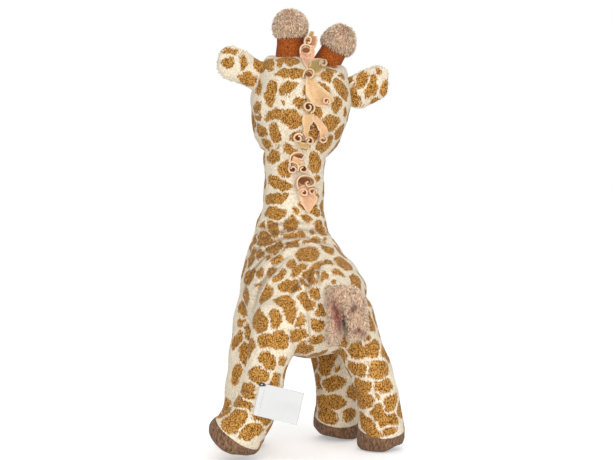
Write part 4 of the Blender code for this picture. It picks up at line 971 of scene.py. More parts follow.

# %% [markdown]
# ## Giraffe patches
#
# The cloth is printed with rounded golden-brown patches on cream, each ending a little short of its
# neighbours. A patch is an oval on the cloth. The camera's side has its ovals listed one by one, in
# pixels, and each is pinned to the cloth behind it. Everywhere else they are spread evenly. Each point
# of the cloth keeps how deep inside a patch it lies, so a patch stays put when a joint moves.

# %% Patches seen from behind
# across, down, half length, half width in pixels, and the lean in degrees, turning down from level
SEEN_PATCHES = (
    # left ear, right ear
    (232, 52, 8, 3.3, 15), (228, 63, 6, 4.8, 75), (243, 61, 8, 3.8, 80), (249, 79, 9, 6.3, 15), (379, 71, 4, 3.4, 0),
    (361, 80, 9, 5.6, 125), (372, 87, 12, 6.1, 100), (355, 100, 8, 4.1, 40), (353.5, 90, 9, 3.6, 85),
    # head
    (260, 65, 9, 6.1, 60), (269, 64, 6, 5.2, 150), (281, 61, 7, 3.7, 145), (293, 60, 6, 4.2, 15),
    (290, 73, 15, 4.8, 175), (329, 74, 8, 5.9, 135), (341, 76, 4, 2.4, 45), (349, 80, 5, 3.1, 65),
    (259, 87, 8, 2.6, 95), (271, 93, 13, 5.8, 100), (287, 88, 9, 5.8, 140), (306, 90, 6, 3.1, 105),
    (324, 91, 8, 5.9, 65), (342, 89, 10, 4.0, 70), (283, 103, 3, 2.0, 100), (300, 102, 8, 5.7, 150),
    (337, 105, 8, 5.1, 105), (257, 108, 6, 3.3, 90), (258, 117, 4, 3.3, 85), (273, 115, 9, 5.4, 165),
    (292, 119, 11, 7.6, 20), (315, 110, 10, 6.1, 60), (345, 112, 5, 2.1, 90), (261, 131, 7, 3.7, 70),
    (331, 124, 10, 7.3, 155), (275, 134, 10, 5.3, 75), (296, 137, 6, 4.5, 155), (313, 133, 10, 5.1, 95),
    (266, 144, 7, 3.4, 55), (279, 147, 3, 2.0, 0), (289, 150, 7, 4.4, 30), (304, 144, 6, 4.2, 75),
    (325, 144, 9, 6.3, 130),
    # neck
    (273, 156, 7, 5.9, 100), (316, 163, 10, 5.4, 95), (284, 170, 8, 6.4, 90), (317, 178, 4, 3.4, 110),
    (278, 183, 13, 5.5, 20), (314, 190, 5, 3.1, 30), (275, 198, 13, 5.1, 165), (316, 197, 5, 3.9, 100),
    (275, 213, 11, 6.2, 10), (296, 212, 6, 4.2, 80), (312, 208, 12, 5.3, 25), (262, 225, 4, 2.2, 105),
    (291, 224, 7, 5.9, 160), (306, 218, 7, 3.2, 20), (320, 228, 8, 4.7, 70), (272, 229, 8, 4.0, 110),
    (266, 239, 9, 4.6, 170), (293, 235, 13, 3.6, 0), (313, 233, 4, 2.0, 25), (324, 239, 4, 2.8, 105),
    # shoulder and back
    (275, 248, 8, 3.7, 145), (292, 245, 9, 3.7, 155), (313, 242, 9, 2.6, 0), (328, 249, 7, 4.0, 30),
    (252, 256, 11, 2.9, 110), (260, 255, 6, 3.8, 140), (268, 258, 4, 2.7, 175), (278, 259, 7, 3.9, 145),
    (308, 254, 11, 6.5, 175), (260, 273, 5, 2.5, 115), (271, 272, 6, 4.2, 135), (291, 264, 6, 4.8, 145),
    (299, 270, 9, 5.3, 140), (312, 277, 9, 3.2, 97), (317, 265, 6, 3.2, 140), (327, 262, 7, 3.0, 5),
    (338, 273, 6, 2.8, 40), (344, 263, 10, 4.4, 28), (250, 278, 9, 6.1, 130), (259, 284, 4, 1.9, 120),
    (279, 276, 8, 4.0, 140), (290, 286, 11, 5.5, 170), (303, 282, 4, 3.5, 95), (322, 276, 6, 4.2, 125),
    (315, 293, 8, 5.2, 105), (334, 281, 3, 2.6, 115), (356, 282, 8, 4.9, 70),
    # rump and thighs
    (245, 296, 9, 3.7, 75), (265, 295, 11, 6.7, 115), (243, 309, 7, 4.6, 90), (284, 302, 9, 6.5, 15),
    (290, 314, 8, 6.8, 60), (307, 301, 9, 5.7, 55), (320, 310, 7, 5.1, 85), (242, 322, 5, 3.9, 90),
    (257, 319, 13, 6.0, 75), (275, 319, 9, 6.1, 80), (299, 321, 8, 4.8, 130), (368, 318, 15, 5.0, 58),
    (248, 333, 8, 4.2, 65), (296, 335, 8, 6.3, 160), (317, 325, 7, 6.0, 60), (238, 339, 8, 3.7, 105),
    (266, 341, 8, 7.2, 20), (281, 340, 9, 6.8, 150), (315, 340, 7, 4.7, 170), (345, 342, 7, 5.0, 110),
    (366, 339, 5, 3.4, 130), (304, 348, 8, 5.0, 170),
    # rear left leg
    (246, 355, 12, 6.1, 80), (267, 360, 9, 6.6, 65), (282, 361, 4, 2.8, 110), (237, 373, 10, 5.0, 115),
    (258, 375, 9, 7.3, 170), (275, 381, 8, 4.9, 110), (247, 392, 8, 7.0, 90), (238, 401, 10, 6.0, 30),
    (234, 420, 12, 9.0, 135), (252, 431, 12, 6.1, 160),
    (263, 420, 8, 4.0, 30),
    # front right leg
    (326, 359, 14, 7.4, 95), (341, 355, 7, 4.4, 65), (337, 368, 4, 2.6, 145), (318, 381, 7, 2.8, 85),
    (333, 383, 9, 6.5, 165), (332, 402, 15, 5.7, 10), (327, 416, 9, 5.4, 25), (350, 415, 7, 5.1, 155),
    # rear right leg
    (357, 348, 10, 7.7, 90), (373, 349, 8, 6.2, 115), (358, 369, 10, 6.9, 15), (377, 369, 10, 8.3, 10),
    (361, 386, 9, 5.8, 20), (384, 386, 9, 6.8, 10), (358, 397, 14, 5.5, 40), (378, 396, 4, 2.3, 100),
    (390, 403, 9, 5.7, 105), (379, 413, 8, 6.6, 95), (367, 425, 14, 5.2, 50), (391, 420, 9, 5.6, 160),
    (390, 431, 7, 3.6, 150),
)
PATCH_SPACING, PATCH_GAP, OVAL_SWELL, LEG_SWELL, LEGS_BELOW = 12.2 * MM, 1.3 * MM, 1.15, 1.12, 338
HALF_LENGTHS, HALF_WIDTHS = (6.0 * MM, 8.8 * MM), (4.8 * MM, 6.4 * MM)
STEEPEST_SLOPE, DEEPEST_BEND, CREASE_SHADE, CORNER_ROUND = 0.42, 8 * MM, 0.36, 0.8 * MM
# ovals that run together in the picture, each given by its middle
MERGED_PATCHES = (
    ((281, 61), (293, 60)), ((269, 64), (260, 65)), ((273, 115), (292, 119)), ((284, 302), (290, 314)),
    ((275, 319), (281, 340), (266, 341)), ((299, 270), (291, 264)), ((357, 348), (373, 349)), ((361, 386), (358, 397)),
    ((379, 413), (391, 420)), ((332, 402), (327, 416)), ((312, 277), (317, 265), (327, 262)), ((307, 301), (303, 282)),
    ((355, 100), (353.5, 90)), ((296, 335), (304, 348)), ((367, 425), (390, 431)), ((326, 359), (341, 355)),
)

plush_pieces = [covers[part] for part in ("body", "neck", *LEGS)] + [head_cover, *ear_backs.values()]


cloth = tree_of(*plush_pieces)


def seen_oval(across, down, half_long, half_wide, lean):
    """Lays an oval of the picture on the cloth behind it: its middle, facing and two half axes."""
    middle_across, middle_down = across, down
    start, way = sight_line(across, down)
    place, facing, _, _ = cloth.ray_cast(start, way)
    if place is None:
        return None
    steepness = -way.dot(facing)
    if steepness < STEEPEST_SLOPE:
        facing = (facing - way * (STEEPEST_SLOPE - steepness) * 1.2).normalized()
    axes = []
    swell = OVAL_SWELL * (LEG_SWELL if down > LEGS_BELOW else 1)
    for reach, angle in ((half_long * swell, lean), (half_wide * swell, lean + 90)):
        turn = math.radians(angle)
        start, way = sight_line(across + reach * math.cos(turn), down + reach * math.sin(turn))
        axes.append(start + way * ((place - start).dot(facing) / way.dot(facing)) - place)
    group = next((k for k, middles in enumerate(MERGED_PATCHES) if (middle_across, middle_down) in middles), -1)
    return place, facing, axes[0], axes[1], group


seen_ovals = [oval for oval in (seen_oval(*patch) for patch in SEEN_PATCHES) if oval]
print("ovals laid on the cloth:", len(seen_ovals), "of", len(SEEN_PATCHES))

# %% Patches everywhere else
cloth_points = np.concatenate([places(piece) for piece in plush_pieces])
cloth_normals = np.concatenate([facings(piece) for piece in plush_pieces])


def spread_evenly(points, spacing, seed, kept):
    """Picks points that are at least a spacing apart, also from those already kept."""
    generator = np.random.default_rng(seed)
    grid, picked = {}, []
    for place in kept:
        grid.setdefault(tuple(np.floor(place / spacing).astype(int)), []).append(place)
    for index in generator.permutation(len(points)):
        point = points[index]
        x, y, z = np.floor(point / spacing).astype(int)
        near = [
            other for dx in (-1, 0, 1) for dy in (-1, 0, 1) for dz in (-1, 0, 1)
            for other in grid.get((x + dx, y + dy, z + dz), ())
        ]
        if not near or (((np.array(near) - point) ** 2).sum(1) > spacing**2).all():
            grid.setdefault((x, y, z), []).append(point)
            picked.append(index)
    return picked


def in_sight(place, facing):
    if facing.dot(toward_camera) < SEEN_SLOPE:
        return False
    return cloth.ray_cast(place + facing * SIGHT_LIFT, toward_camera)[0] is None


SEEN_SLOPE, SIGHT_LIFT = 0.36, 2 * MM
generator = np.random.default_rng(17)
ovals = list(seen_ovals)
some_points, some_normals = cloth_points[::3], cloth_normals[::3]
for index in spread_evenly(some_points, PATCH_SPACING, 5, [np.array(oval[0]) for oval in seen_ovals]):
    place, facing = Vector(some_points[index]), Vector(some_normals[index])
    if in_sight(place, facing):
        continue
    way = Vector(generator.normal(size=3)) + UP * 1.2
    way = (way - facing * way.dot(facing)).normalized()
    long, wide = way * generator.uniform(*HALF_LENGTHS), facing.cross(way) * generator.uniform(*HALF_WIDTHS)
    ovals.append((place, facing, long, wide, -1))
oval_middles, oval_facings, oval_longs, oval_wides = (np.array([list(oval[k]) for oval in ovals]) for k in range(4))
oval_groups = np.array([oval[4] if oval[4] >= 0 else 1000 + step for step, oval in enumerate(ovals)])
print("patches:", len(ovals))


# an oval is a little squarer than an ellipse
OVAL_POWER, FARTHEST_OVAL = 2.15, 14 * MM
PATCH_WAVE, PATCH_WAVE_LENGTH = 0.8 * MM, 7 * MM


def depth_in_patch(points):
    """How far inside a patch each point lies, in millimetres; less than nothing outside."""
    low, high = points.min(0) - FARTHEST_OVAL, points.max(0) + FARTHEST_OVAL
    near = ((oval_middles > low) & (oval_middles < high)).all(1)
    middles, faces, longs, wides = oval_middles[near], oval_facings[near], oval_longs[near], oval_wides[near]
    groups = oval_groups[near]
    ll, lw, ww = (longs * longs).sum(1), (longs * wides).sum(1), (wides * wides).sum(1)
    size = np.sqrt(np.sqrt(ll * ww))
    under = ll * ww - lw * lw
    depth = np.empty(len(points))
    for start in range(0, len(points), 5000):
        part = points[start:start + 5000]
        along = part @ longs.T - (middles * longs).sum(1)
        across = part @ wides.T - (middles * wides).sum(1)
        bend = (part @ faces.T - (middles * faces).sum(1)) / DEEPEST_BEND
        u, v = (along * ww - across * lw) / under, (across * ll - along * lw) / under
        flat = (np.abs(u) ** OVAL_POWER + np.abs(v) ** OVAL_POWER) ** (2 / OVAL_POWER)
        away = np.sqrt(flat + bend**2)
        inside = (1 - away) * size
        best = inside.argmax(1)
        nearest = inside.max(1)
        other = np.where(groups[None, :] == groups[best][:, None], -1.0, inside).max(1)
        gap = (nearest - other - PATCH_GAP) / 2
        rounding = CORNER_ROUND * np.log1p(np.exp(-np.abs(nearest - gap) / CORNER_ROUND))
        depth[start:start + 5000] = np.minimum(nearest, gap) - rounding
    return depth / MM


def mark_patches(piece):
    points = places(piece)
    wave = np.stack([waves(points, PATCH_WAVE_LENGTH, seed) for seed in (101, 102, 103)], 1)
    depth = depth_in_patch(points + PATCH_WAVE * wave)
    keep(piece, "patch", depth)
    return round(float((depth > 0).mean()), 2)


print("brown share:", {piece.name: mark_patches(piece) for piece in plush_pieces})


# how wide the shade painted in a crease is, against its line's half width, and its darkest share
CREASE_WIDTH, DARKEST_CREASE = 0.62, 0.8


def paint_crease_shade(piece):
    """Keeps how deep in a fold or seam each point lies, as the strength of the shade painted there."""
    points = places(piece)
    across, down = seen_at(points)
    facing = facing_camera(facings(piece), 4)
    deep = np.zeros(len(points))
    for line, depth, half_wide in FOLDS + SEAMS:
        away, share = along_line(across, down, line)
        near = np.exp(-((away / (CREASE_WIDTH * half_wide)) ** 2))
        deep = np.maximum(deep, faded_ends(share) * facing * CREASE_SHADE * depth * near)
    keep(piece, "crease_shade_depth", np.clip(deep, 0, DARKEST_CREASE))


for part in ("body", "neck", *LEGS):
    paint_crease_shade(covers[part])

# %% [markdown]
# ## The mane
#
# The mane is a row of felt strips, caught in the seam at the back of the head and neck and curled by
# hand. Some lie flat on the plush and some stand on edge as loops and scrolls. Each is a grid that
# is laid along a line of the picture, on the cloth, and given the felt's thickness.

# %% Felt strips
FELT_THICK, FELT_ROWS, CURL_WIDTH, FOOT_SUNK = 1.25 * MM, 3, 5.2 * MM, 0.7 * MM


def smooth_path(stops, shares):
    """Follows a row of stops as one smooth line; a share runs from 0 to 1 along it."""
    stops = np.asarray(stops, float)
    reach = np.asarray(shares) * (len(stops) - 1)
    left = np.clip(reach.astype(int), 0, len(stops) - 2)
    t = (reach - left)[:, None]
    before, a, b, after = (stops[np.clip(left + k, 0, len(stops) - 1)] for k in (-1, 0, 1, 2))
    square, cube = 2 * before - 5 * a + 4 * b - after, 3 * a - before - 3 * b + after
    return (2 * a + (b - before) * t + square * t**2 + cube * t**3) / 2


def scroll(across, down, outer, inner, start, turns):
    """The stops of a scroll in the picture, from its outside in; start in degrees, turning down."""
    steps = max(8, int(abs(turns) * 9))
    stops = []
    for step in range(steps + 1):
        share = step / steps
        radius, angle = outer + (inner - outer) * share**0.8, math.radians(start + 360 * turns * share)
        stops.append((across + radius * math.cos(angle), down + radius * math.sin(angle)))
    return stops


def on_cloth(across, down, level=None):
    """The place and facing of the cloth at a pixel, or of a level place where the cloth isn't behind it."""
    start, way = sight_line(across, down)
    place, facing, _, _ = cloth.ray_cast(start, way)
    if place is None or (level is not None and (place - level).dot(toward_camera) < 0):
        beside = level or crown
        place = start + way * ((beside - start).dot(toward_camera) / way.dot(toward_camera))
        facing = toward_camera
    return place, facing


crown_low, crown_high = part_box("mane_head_1")
CROWN_BACK = 7.5 * MM
crown = (Vector(crown_low) + Vector(crown_high)) / 2 + toward_camera * CROWN_BACK


def felt_grid(steps):
    bpy.ops.object.select_all(action="DESELECT")
    bpy.ops.mesh.primitive_grid_add(x_subdivisions=steps, y_subdivisions=FELT_ROWS, size=1, location=(0, 0, 0))
    strip = bpy.context.object
    grid = places(strip)
    return strip, np.clip(grid[:, 0] + 0.5, 0, 1), np.clip(grid[:, 1] + 0.5, 0, 1)


def finish_felt(strip, points, dye, edge):
    """Moves the grid to its place, keeps its dye and its cut edge, and gives it thickness."""
    put(strip, points)
    keep(strip, "dye", np.full(len(points), dye))
    keep(strip, "edge", edge)
    finish_with(strip, "SOLIDIFY", thickness=FELT_THICK, offset=0.0)
    finish_with(strip, "SUBSURF", levels=1, render_levels=1)
    return strip


def standing_curl(stops, dye=0.0, width=CURL_WIDTH, level=None):
    """A strip on its edge: its lower edge follows the stops on the cloth, its upper edge stands free."""
    strip, along, across = felt_grid(max(16, 3 * len(stops)))
    rows = sorted(set(along.round(5)))
    line = smooth_path(stops, np.array(rows))
    foot, rise = [], []
    middle = on_cloth(*np.mean(stops, 0), level)[1]
    for x, y in line:
        place, facing = on_cloth(x, y, level)
        foot.append(place)
        rise.append((facing * 0.3 + middle * 0.5 + toward_camera * 0.9).normalized())
    index = np.searchsorted(rows, along.round(5) - 1e-6)
    foot, rise = np.array(foot)[index], np.array(rise)[index]
    tall = width * (1 + 0.10 * np.sin(9 * along + 3 * dye))
    points = foot + rise * (across * (tall + FOOT_SUNK) - FOOT_SUNK)[:, None]
    flare = (across - 0.5) * 0.5 * MM * np.sin(14 * along)
    points += flare[:, None] * np.array(camera_right)
    return finish_felt(strip, points, dye, 2 * across - 1)


def flat_flap(one_edge, other_edge, lifts, dye=0.0, level=None):
    """A strip that lies on the cloth, between two edges in the picture, lifted by some millimetres."""
    strip, along, across = felt_grid(max(16, 4 * len(one_edge)))
    pixels = smooth_path(one_edge, along) * (1 - across)[:, None] + smooth_path(other_edge, along) * across[:, None]
    raised = smooth_path([(lift, 0) for lift in lifts], along)[:, 0]
    edge = np.maximum(np.abs(across - 0.5) * 2, np.abs(along - 0.5) * 2 * (np.abs(along - 0.5) > 0.46))
    points = []
    for (x, y), lift, side in zip(pixels, raised, np.abs(across - 0.5) * 2):
        place, facing = on_cloth(x, y, level)
        points.append(place + facing * (lift + 0.6 * side**2 + FELT_THICK / 2 / MM) * MM)
    return finish_felt(strip, np.array(points), dye, edge)


def curl_shade_disc(across, down, radius, lift=0.2, level=None):
    """Painted shade for the inside of a curl: a small dark disc at its foot."""
    wide = (-1.0, -0.6, 0.0, 0.6, 1.0)
    half = [0.3 * radius, 0.8 * radius, radius, 0.8 * radius, 0.3 * radius]
    upper = [(across + x * radius, down - h) for x, h in zip(wide, half)]
    lower = [(across + x * radius, down + h) for x, h in zip(wide, half)]
    return flat_flap(upper, lower, (lift, lift), 2.0, level)


MANE = {
    "mane_head_1": [
        curl_shade_disc(306, 50.5, 4.2, 1.4, crown),
        curl_shade_disc(308, 40.8, 2.4, 0.4, crown),
        flat_flap(
            [(306.5, 70), (301, 61), (299.5, 53), (301, 46)], [(310, 68), (310, 61), (310.5, 53), (309, 46)],
            (0.2, 0.3, 0.2, 0.0), 1.0, crown,
        ),
        standing_curl(
            [
                (300.6, 55), (300.2, 49), (302.6, 45.6), (306.5, 44.8), (310, 46.5), (311, 50.5), (309, 54),
                (306, 55.5),
            ],
            0.9, 3.6 * MM, crown,
        ),
        flat_flap(
            [(308.5, 69), (310, 60), (310.5, 52), (310, 45.5)], [(310.5, 69), (313.5, 61), (315, 53), (314.5, 46)],
            (0.5, 1.0, 1.8, 2.6), 0.8, crown,
        ),
        standing_curl(
            [(304.8, 45), (304.6, 40.5), (306.8, 37.2), (310, 37.6), (311, 41), (309.4, 43.6), (307.6, 42)], -0.3,
            3.6 * MM, crown,
        ),
        # this flap is dyed partway toward the painted shade of a curl's inside, so it reads as shaded
        flat_flap(
            [(305.5, 48), (306, 41), (309, 36)], [(315.5, 48), (317.8, 41), (317, 36)], (-1.6, -1.2, -0.6), 1.35,
            crown,
        ),
        flat_flap(
            [(307.5, 37), (309, 33), (310.5, 31)], [(312, 37.5), (314, 34.5), (314.2, 31.5)], (-2.5, -2.2, -1.8),
            -0.9, crown,
        ),
    ],
    "mane_head_2": [
        flat_flap(
            [(306.5, 66), (311, 61.5), (317, 60.5), (323, 62)], [(309, 73), (313, 77), (318, 76.5), (322, 71)],
            (0.5, 0.8, 0.9, 1.0), -1.0,
        ),
        standing_curl(scroll(322.5, 66, 4.2, 1.5, 150, 1.3), -0.8, 4.6 * MM),
        curl_shade_disc(322.5, 66, 3.2, 1.7),
        curl_shade_disc(308.5, 75.5, 3.6, 0.2),
        standing_curl(
            [(303, 79), (304, 74), (307, 70.8), (311.4, 70.8), (313.8, 74), (312.6, 78), (309.4, 79.4)], -0.2,
            4.6 * MM,
        ),
    ],
    "mane_head_3": [
        flat_flap(
            [(305, 78), (304.5, 85), (305, 93), (307.5, 100), (315, 106.5), (324, 107)],
            [(313, 79), (316, 83), (320.5, 88), (325, 91.5), (330, 95.5), (331.5, 101)],
            (0.8, 1.5, 2.0, 2.0, 1.8, 2.4), 0.1,
        ),
        standing_curl(scroll(324, 101.5, 4.2, 1.5, 60, -1.25), 0.9, 6.4 * MM),
        curl_shade_disc(324, 101.5, 3.4, 3.2),
    ],
    "mane_head_4": [standing_curl(scroll(308, 107, 6.6, 1.9, 75, -1.45), -0.25, 5.6 * MM), curl_shade_disc(308, 107, 5.4)],
    "mane_head_5": [
        flat_flap(
            [(302.5, 113), (302.2, 120), (302.2, 127), (303, 133), (305.5, 138)],
            [(313.5, 113.5), (314, 119), (309.5, 124), (308, 130), (308, 137)],
            (0.9, 1.8, 2.4, 2.0, 1.2), 0.1,
        ),
        flat_flap(
            [(310, 117), (315, 124), (317.5, 131), (317.5, 138)],
            [(315, 115), (320.5, 121), (324.5, 129), (324.5, 137)], (1.8, 2.6, 3.0, 2.2), 0.4,
        ),
        standing_curl(scroll(321, 138, 4.2, 1.6, 290, 1.2), 0.5, 6.2 * MM),
        curl_shade_disc(321, 138, 3.2, 2.8),
        curl_shade_disc(310, 127, 3.4, 0.1),
    ],
    "mane_head_6": [
        standing_curl(scroll(298.5, 137.6, 5.2, 2.2, 330, -1.2), 0.3),
        standing_curl(scroll(309, 140.4, 4.6, 1.8, 200, 1.15), 0.2),
        curl_shade_disc(298.5, 137.6, 4.3),
        curl_shade_disc(309, 140.4, 3.6),
        flat_flap(
            [(298, 140), (303, 141.5), (309, 141.5)], [(299, 145.5), (304, 147.5), (309, 146)], (0.6, 1.0, 0.7),
            -0.5,
        ),
    ],
    "mane_neck_1": [
        standing_curl(
            [(289.5, 163), (290, 157.5), (294, 153.6), (299.5, 153), (303.4, 156), (301.6, 159.8), (298, 158.8)],
            0.6,
        ),
        standing_curl(scroll(293, 169.2, 4.9, 1.9, 250, -1.2), 0.7),
        curl_shade_disc(293, 169.2, 4.0),
        curl_shade_disc(297, 157.5, 4.2),
        standing_curl([(288.8, 165), (292, 161.6), (296.5, 163), (298.8, 167), (297.5, 171.5)], 0.4, 4.6 * MM),
        flat_flap([(294, 156), (300, 160), (304, 165)], [(291, 162), (296, 166), (300, 170)], (0.6, 0.9, 0.7), 0.2),
    ],
    "mane_neck_2": [
        standing_curl(scroll(302.8, 169.2, 5.2, 1.9, 180, 1.25), -0.9),
        curl_shade_disc(302.8, 169.2, 4.0),
        curl_shade_disc(303.5, 181, 6.0),
        standing_curl(
            [
                (297.5, 190), (295.4, 183.5), (297.6, 178), (303, 175.4), (309.4, 176.6), (313, 180.6),
                (311.6, 185.4), (307, 186.4), (304.6, 183.4), (307, 181.4),
            ],
            0.3, 6 * MM,
        ),
        flat_flap([(299, 187), (304, 184.5), (309, 184)], [(301, 191), (306, 189), (311, 187)], (0.5, 0.7, 0.6), 0.5),
    ],
    "mane_neck_3": [
        flat_flap(
            [(295.5, 187), (297.5, 193), (299, 199)], [(312, 189), (313.5, 194), (313.5, 199)], (0.8, 1.2, 1.2),
            0.7,
        ),
        standing_curl(scroll(303, 193, 4.4, 1.7, 200, 1.2), 0.9, 5.6 * MM),
        curl_shade_disc(303, 193, 3.2, 1.4),
        standing_curl(scroll(310.5, 192, 4.2, 1.7, 20, -1.2), 0.8, 5.6 * MM),
        curl_shade_disc(310.5, 192, 3.0, 1.4),
    ],
    "mane_neck_4": [
        flat_flap(
            [(299, 197), (299.5, 202), (302, 207), (305.5, 213)],
            [(315, 196), (314.5, 201), (311.5, 206), (307.5, 214)], (1.6, 2.2, 1.9, 1.2), 0.6,
        ),
    ],
}
mane_felts = {}
for node, strips in MANE.items():
    mane_felts[node] = joined(node + "_felt", strips)
    bpy.ops.object.shade_smooth()
print("felt strips:", {node: len(felt.data.polygons) for node, felt in mane_felts.items()})

# %% [markdown]
# ## The care label
#
# The label is a woven tape, folded in half, with both ends caught in the leg's seam. It is one grid that
# runs out, round a tight fold and back. A row of stitches and a dark knot of thread hold it.

# %% Care label
LABEL_WIDTH, LABEL_REACH, LABEL_FOLD, LABEL_BOW = 22 * MM, 29.6 * MM, 0.55 * MM, 1.8 * MM
TAPE_THICK = 0.28 * MM
LABEL_TILT, LABEL_SHIFT, LABEL_RAISE, LABEL_RIPPLE = 6, 3.2 * MM, 4.8 * MM, 0.35 * MM
label_out = Vector((0.3420, 0.9397, 0.0))
label_along = Matrix.Rotation(math.radians(-LABEL_TILT), 3, label_out) @ Vector((-0.9327, 0.3395, -0.1220))
label_rise = label_out.cross(label_along)
label_root = joint_at["label_turn"] + label_along * LABEL_SHIFT + label_rise * LABEL_RAISE


def label_line(length):
    """The tape's run in its own plane: how far out it is, and which side of the middle."""
    half_turn = math.pi * LABEL_FOLD
    straight = LABEL_REACH - LABEL_FOLD
    if length < straight:
        return length, LABEL_FOLD
    if length < straight + half_turn:
        turn = (length - straight) / LABEL_FOLD
        return straight + LABEL_FOLD * math.sin(turn), LABEL_FOLD * math.cos(turn)
    return straight - (length - straight - half_turn), -LABEL_FOLD


tape_length = 2 * (LABEL_REACH - LABEL_FOLD) + math.pi * LABEL_FOLD
bpy.ops.object.select_all(action="DESELECT")
bpy.ops.mesh.primitive_grid_add(x_subdivisions=90, y_subdivisions=16, size=1, location=(0, 0, 0))
label = bpy.context.object
label.name = label.data.name = "care_label_tape"
grid = places(label)
points = []
for x, y in grid[:, :2]:
    reach, side = label_line((x + 0.5) * tape_length)
    out = reach / LABEL_REACH
    bow = LABEL_BOW * out**2 + LABEL_RIPPLE * math.sin(9 * y) * out
    points.append(label_root + label_along * reach + label_rise * (y * LABEL_WIDTH) + label_out * (side + bow))
put(label, np.array(points))
keep(label, "along", (grid[:, 0] + 0.5) * tape_length / MM)
finish_with(label, "SOLIDIFY", thickness=TAPE_THICK, offset=0.0)
take(label)
bpy.ops.object.mode_set(mode="EDIT")
bpy.ops.mesh.select_all(action="SELECT")
bpy.ops.mesh.normals_make_consistent(inside=False)
bpy.ops.object.mode_set(mode="OBJECT")
bpy.ops.object.shade_smooth_by_angle(angle=math.radians(50))


def thread_along(name, stops, thick, steps=6, sides=8):
    """A short piece of sewn thread through some places, closed at both ends."""
    line = smooth_path(stops, np.linspace(0, 1, steps * (len(stops) - 1) + 1))
    stations = []
    for index, place in enumerate(line):
        ahead = Vector(line[min(index + 1, len(line) - 1)] - line[max(index - 1, 0)]).normalized()
        taper = 0.45 if index in (0, len(line) - 1) else 1.0
        turn = ahead.to_track_quat("Z", "Y").to_matrix()
        stations.append((Vector(place), turn, thick * taper, thick * taper))
    return bridged_circles(name, stations, sides)


STITCHES, STITCH_HALF, STITCH_THICK, SEAM_INSET, SEAM_SHARE = 9, 0.85 * MM, 0.17 * MM, 3.4 * MM, 0.86
stitches = []
for step in range(STITCHES):
    aside = (step / (STITCHES - 1) - 0.5) * SEAM_SHARE * LABEL_WIDTH
    at = label_root + label_along * SEAM_INSET + label_rise * aside
    half = label_rise * STITCH_HALF
    top = label_out * (LABEL_FOLD + 0.22 * MM)
    stops = [at - half + top * 0.6, at + top * 1.25, at + half + top * 0.6]
    stitches.append(thread_along("stitch", stops, STITCH_THICK, 3, 6))
label_stitches = joined("care_label_stitches", stitches)
bpy.ops.object.shade_smooth()

# a turn in radians, and half a loop's height and width in mm
KNOT_LOOPS, KNOT_THICK = ((0.0, 0.8, 2.6), (0.5, 0.7, 1.9), (-0.4, 0.9, 1.5)), 0.26 * MM
corner = label_root + label_rise * (LABEL_WIDTH / 2 - 0.6 * MM) + label_out * (LABEL_FOLD + 0.5 * MM)
corner += label_along * 1.0 * MM
loops = []
for turn, tall, wide in KNOT_LOOPS:
    stops = []
    for step in range(9):
        angle = 2 * math.pi * step / 8 * 0.93
        flat = Vector((wide * math.cos(angle), tall * math.sin(angle), 0.5 * math.sin(2 * angle + turn)))
        flat = Matrix.Rotation(turn, 3, "Z") @ flat
        stops.append(corner + (label_along * flat.x + label_rise * flat.y + label_out * flat.z) * MM)
    loops.append(thread_along("knot_loop", stops, KNOT_THICK, 4, 8))
label_knot = joined("care_label_knot", loops)
bpy.ops.object.shade_smooth()
print("label tape", round(tape_length * 1000, 1), "mm long,", len(label.data.polygons), "faces")

# %% [markdown]
# ## Materials
#
# Pile looks soft because light enters between its tips: they are pale and the roots are dark, and the
# nap lies unevenly. One group, placed in each cloth with its own values, makes that grain and the
# height that feeds the bump. A sheen on the shader gives the bright edge that velvet shows.

# %% The grain of pile
NAP_SCALE, NOISE_LOW, NOISE_HIGH = 130.0, 0.3, 0.7


def new_group(name, inputs, outputs):
    group = bpy.data.node_groups.new(name, "ShaderNodeTree")
    for label, kind, value in inputs:
        socket = group.interface.new_socket(label, in_out="INPUT", socket_type=kind)
        if value is not None:
            socket.default_value = value
    for label, kind in outputs:
        group.interface.new_socket(label, in_out="OUTPUT", socket_type=kind)
    return group, group.nodes.new("NodeGroupInput"), group.nodes.new("NodeGroupOutput")


def add(tree, kind, inputs=None, **settings):
    """Adds a node, sets it, and links or fills its inputs."""
    node = tree.nodes.new(kind)
    for setting, value in settings.items():
        setattr(node, setting, value)
    for key, value in (inputs or {}).items():
        if isinstance(value, bpy.types.NodeSocket):
            tree.links.new(value, node.inputs[key])
        else:
            node.inputs[key].default_value = value
    return node


def object_place(tree):
    return add(tree, "ShaderNodeTexCoord").outputs["Object"]


def kept(tree, label):
    """A value that the points of a piece keep."""
    return add(tree, "ShaderNodeAttribute", attribute_name=label).outputs["Fac"]


def noise(tree, place, scale, detail=2.0, **more):
    return add(tree, "ShaderNodeTexNoise", {"Vector": place, "Scale": scale, "Detail": detail, **more}).outputs[0]


def calc(tree, operation, *values):
    return add(tree, "ShaderNodeMath", dict(enumerate(values)), operation=operation).outputs[0]


def squeezed(tree, place, shares):
    return add(tree, "ShaderNodeVectorMath", {0: place, 1: shares}, operation="MULTIPLY").outputs[0]


def stretched(tree, value, low=0.0, high=1.0, to_low=0.0, to_high=1.0, **settings):
    """Maps the values between two limits to those between two others."""
    limits = {"From Min": low, "From Max": high, "To Min": to_low, "To Max": to_high}
    return add(tree, "ShaderNodeMapRange", {"Value": value, **limits}, **settings).outputs[0]


def mixed_colours(tree, factor, first, second):
    """Mixes two colours, each given as numbers or as the output of a node."""
    colours = {6: first, 7: second}
    colours = {k: v if isinstance(v, bpy.types.NodeSocket) else (*v, 1) for k, v in colours.items()}
    return add(tree, "ShaderNodeMix", {"Factor": factor, **colours}, data_type="RGBA").outputs[2]


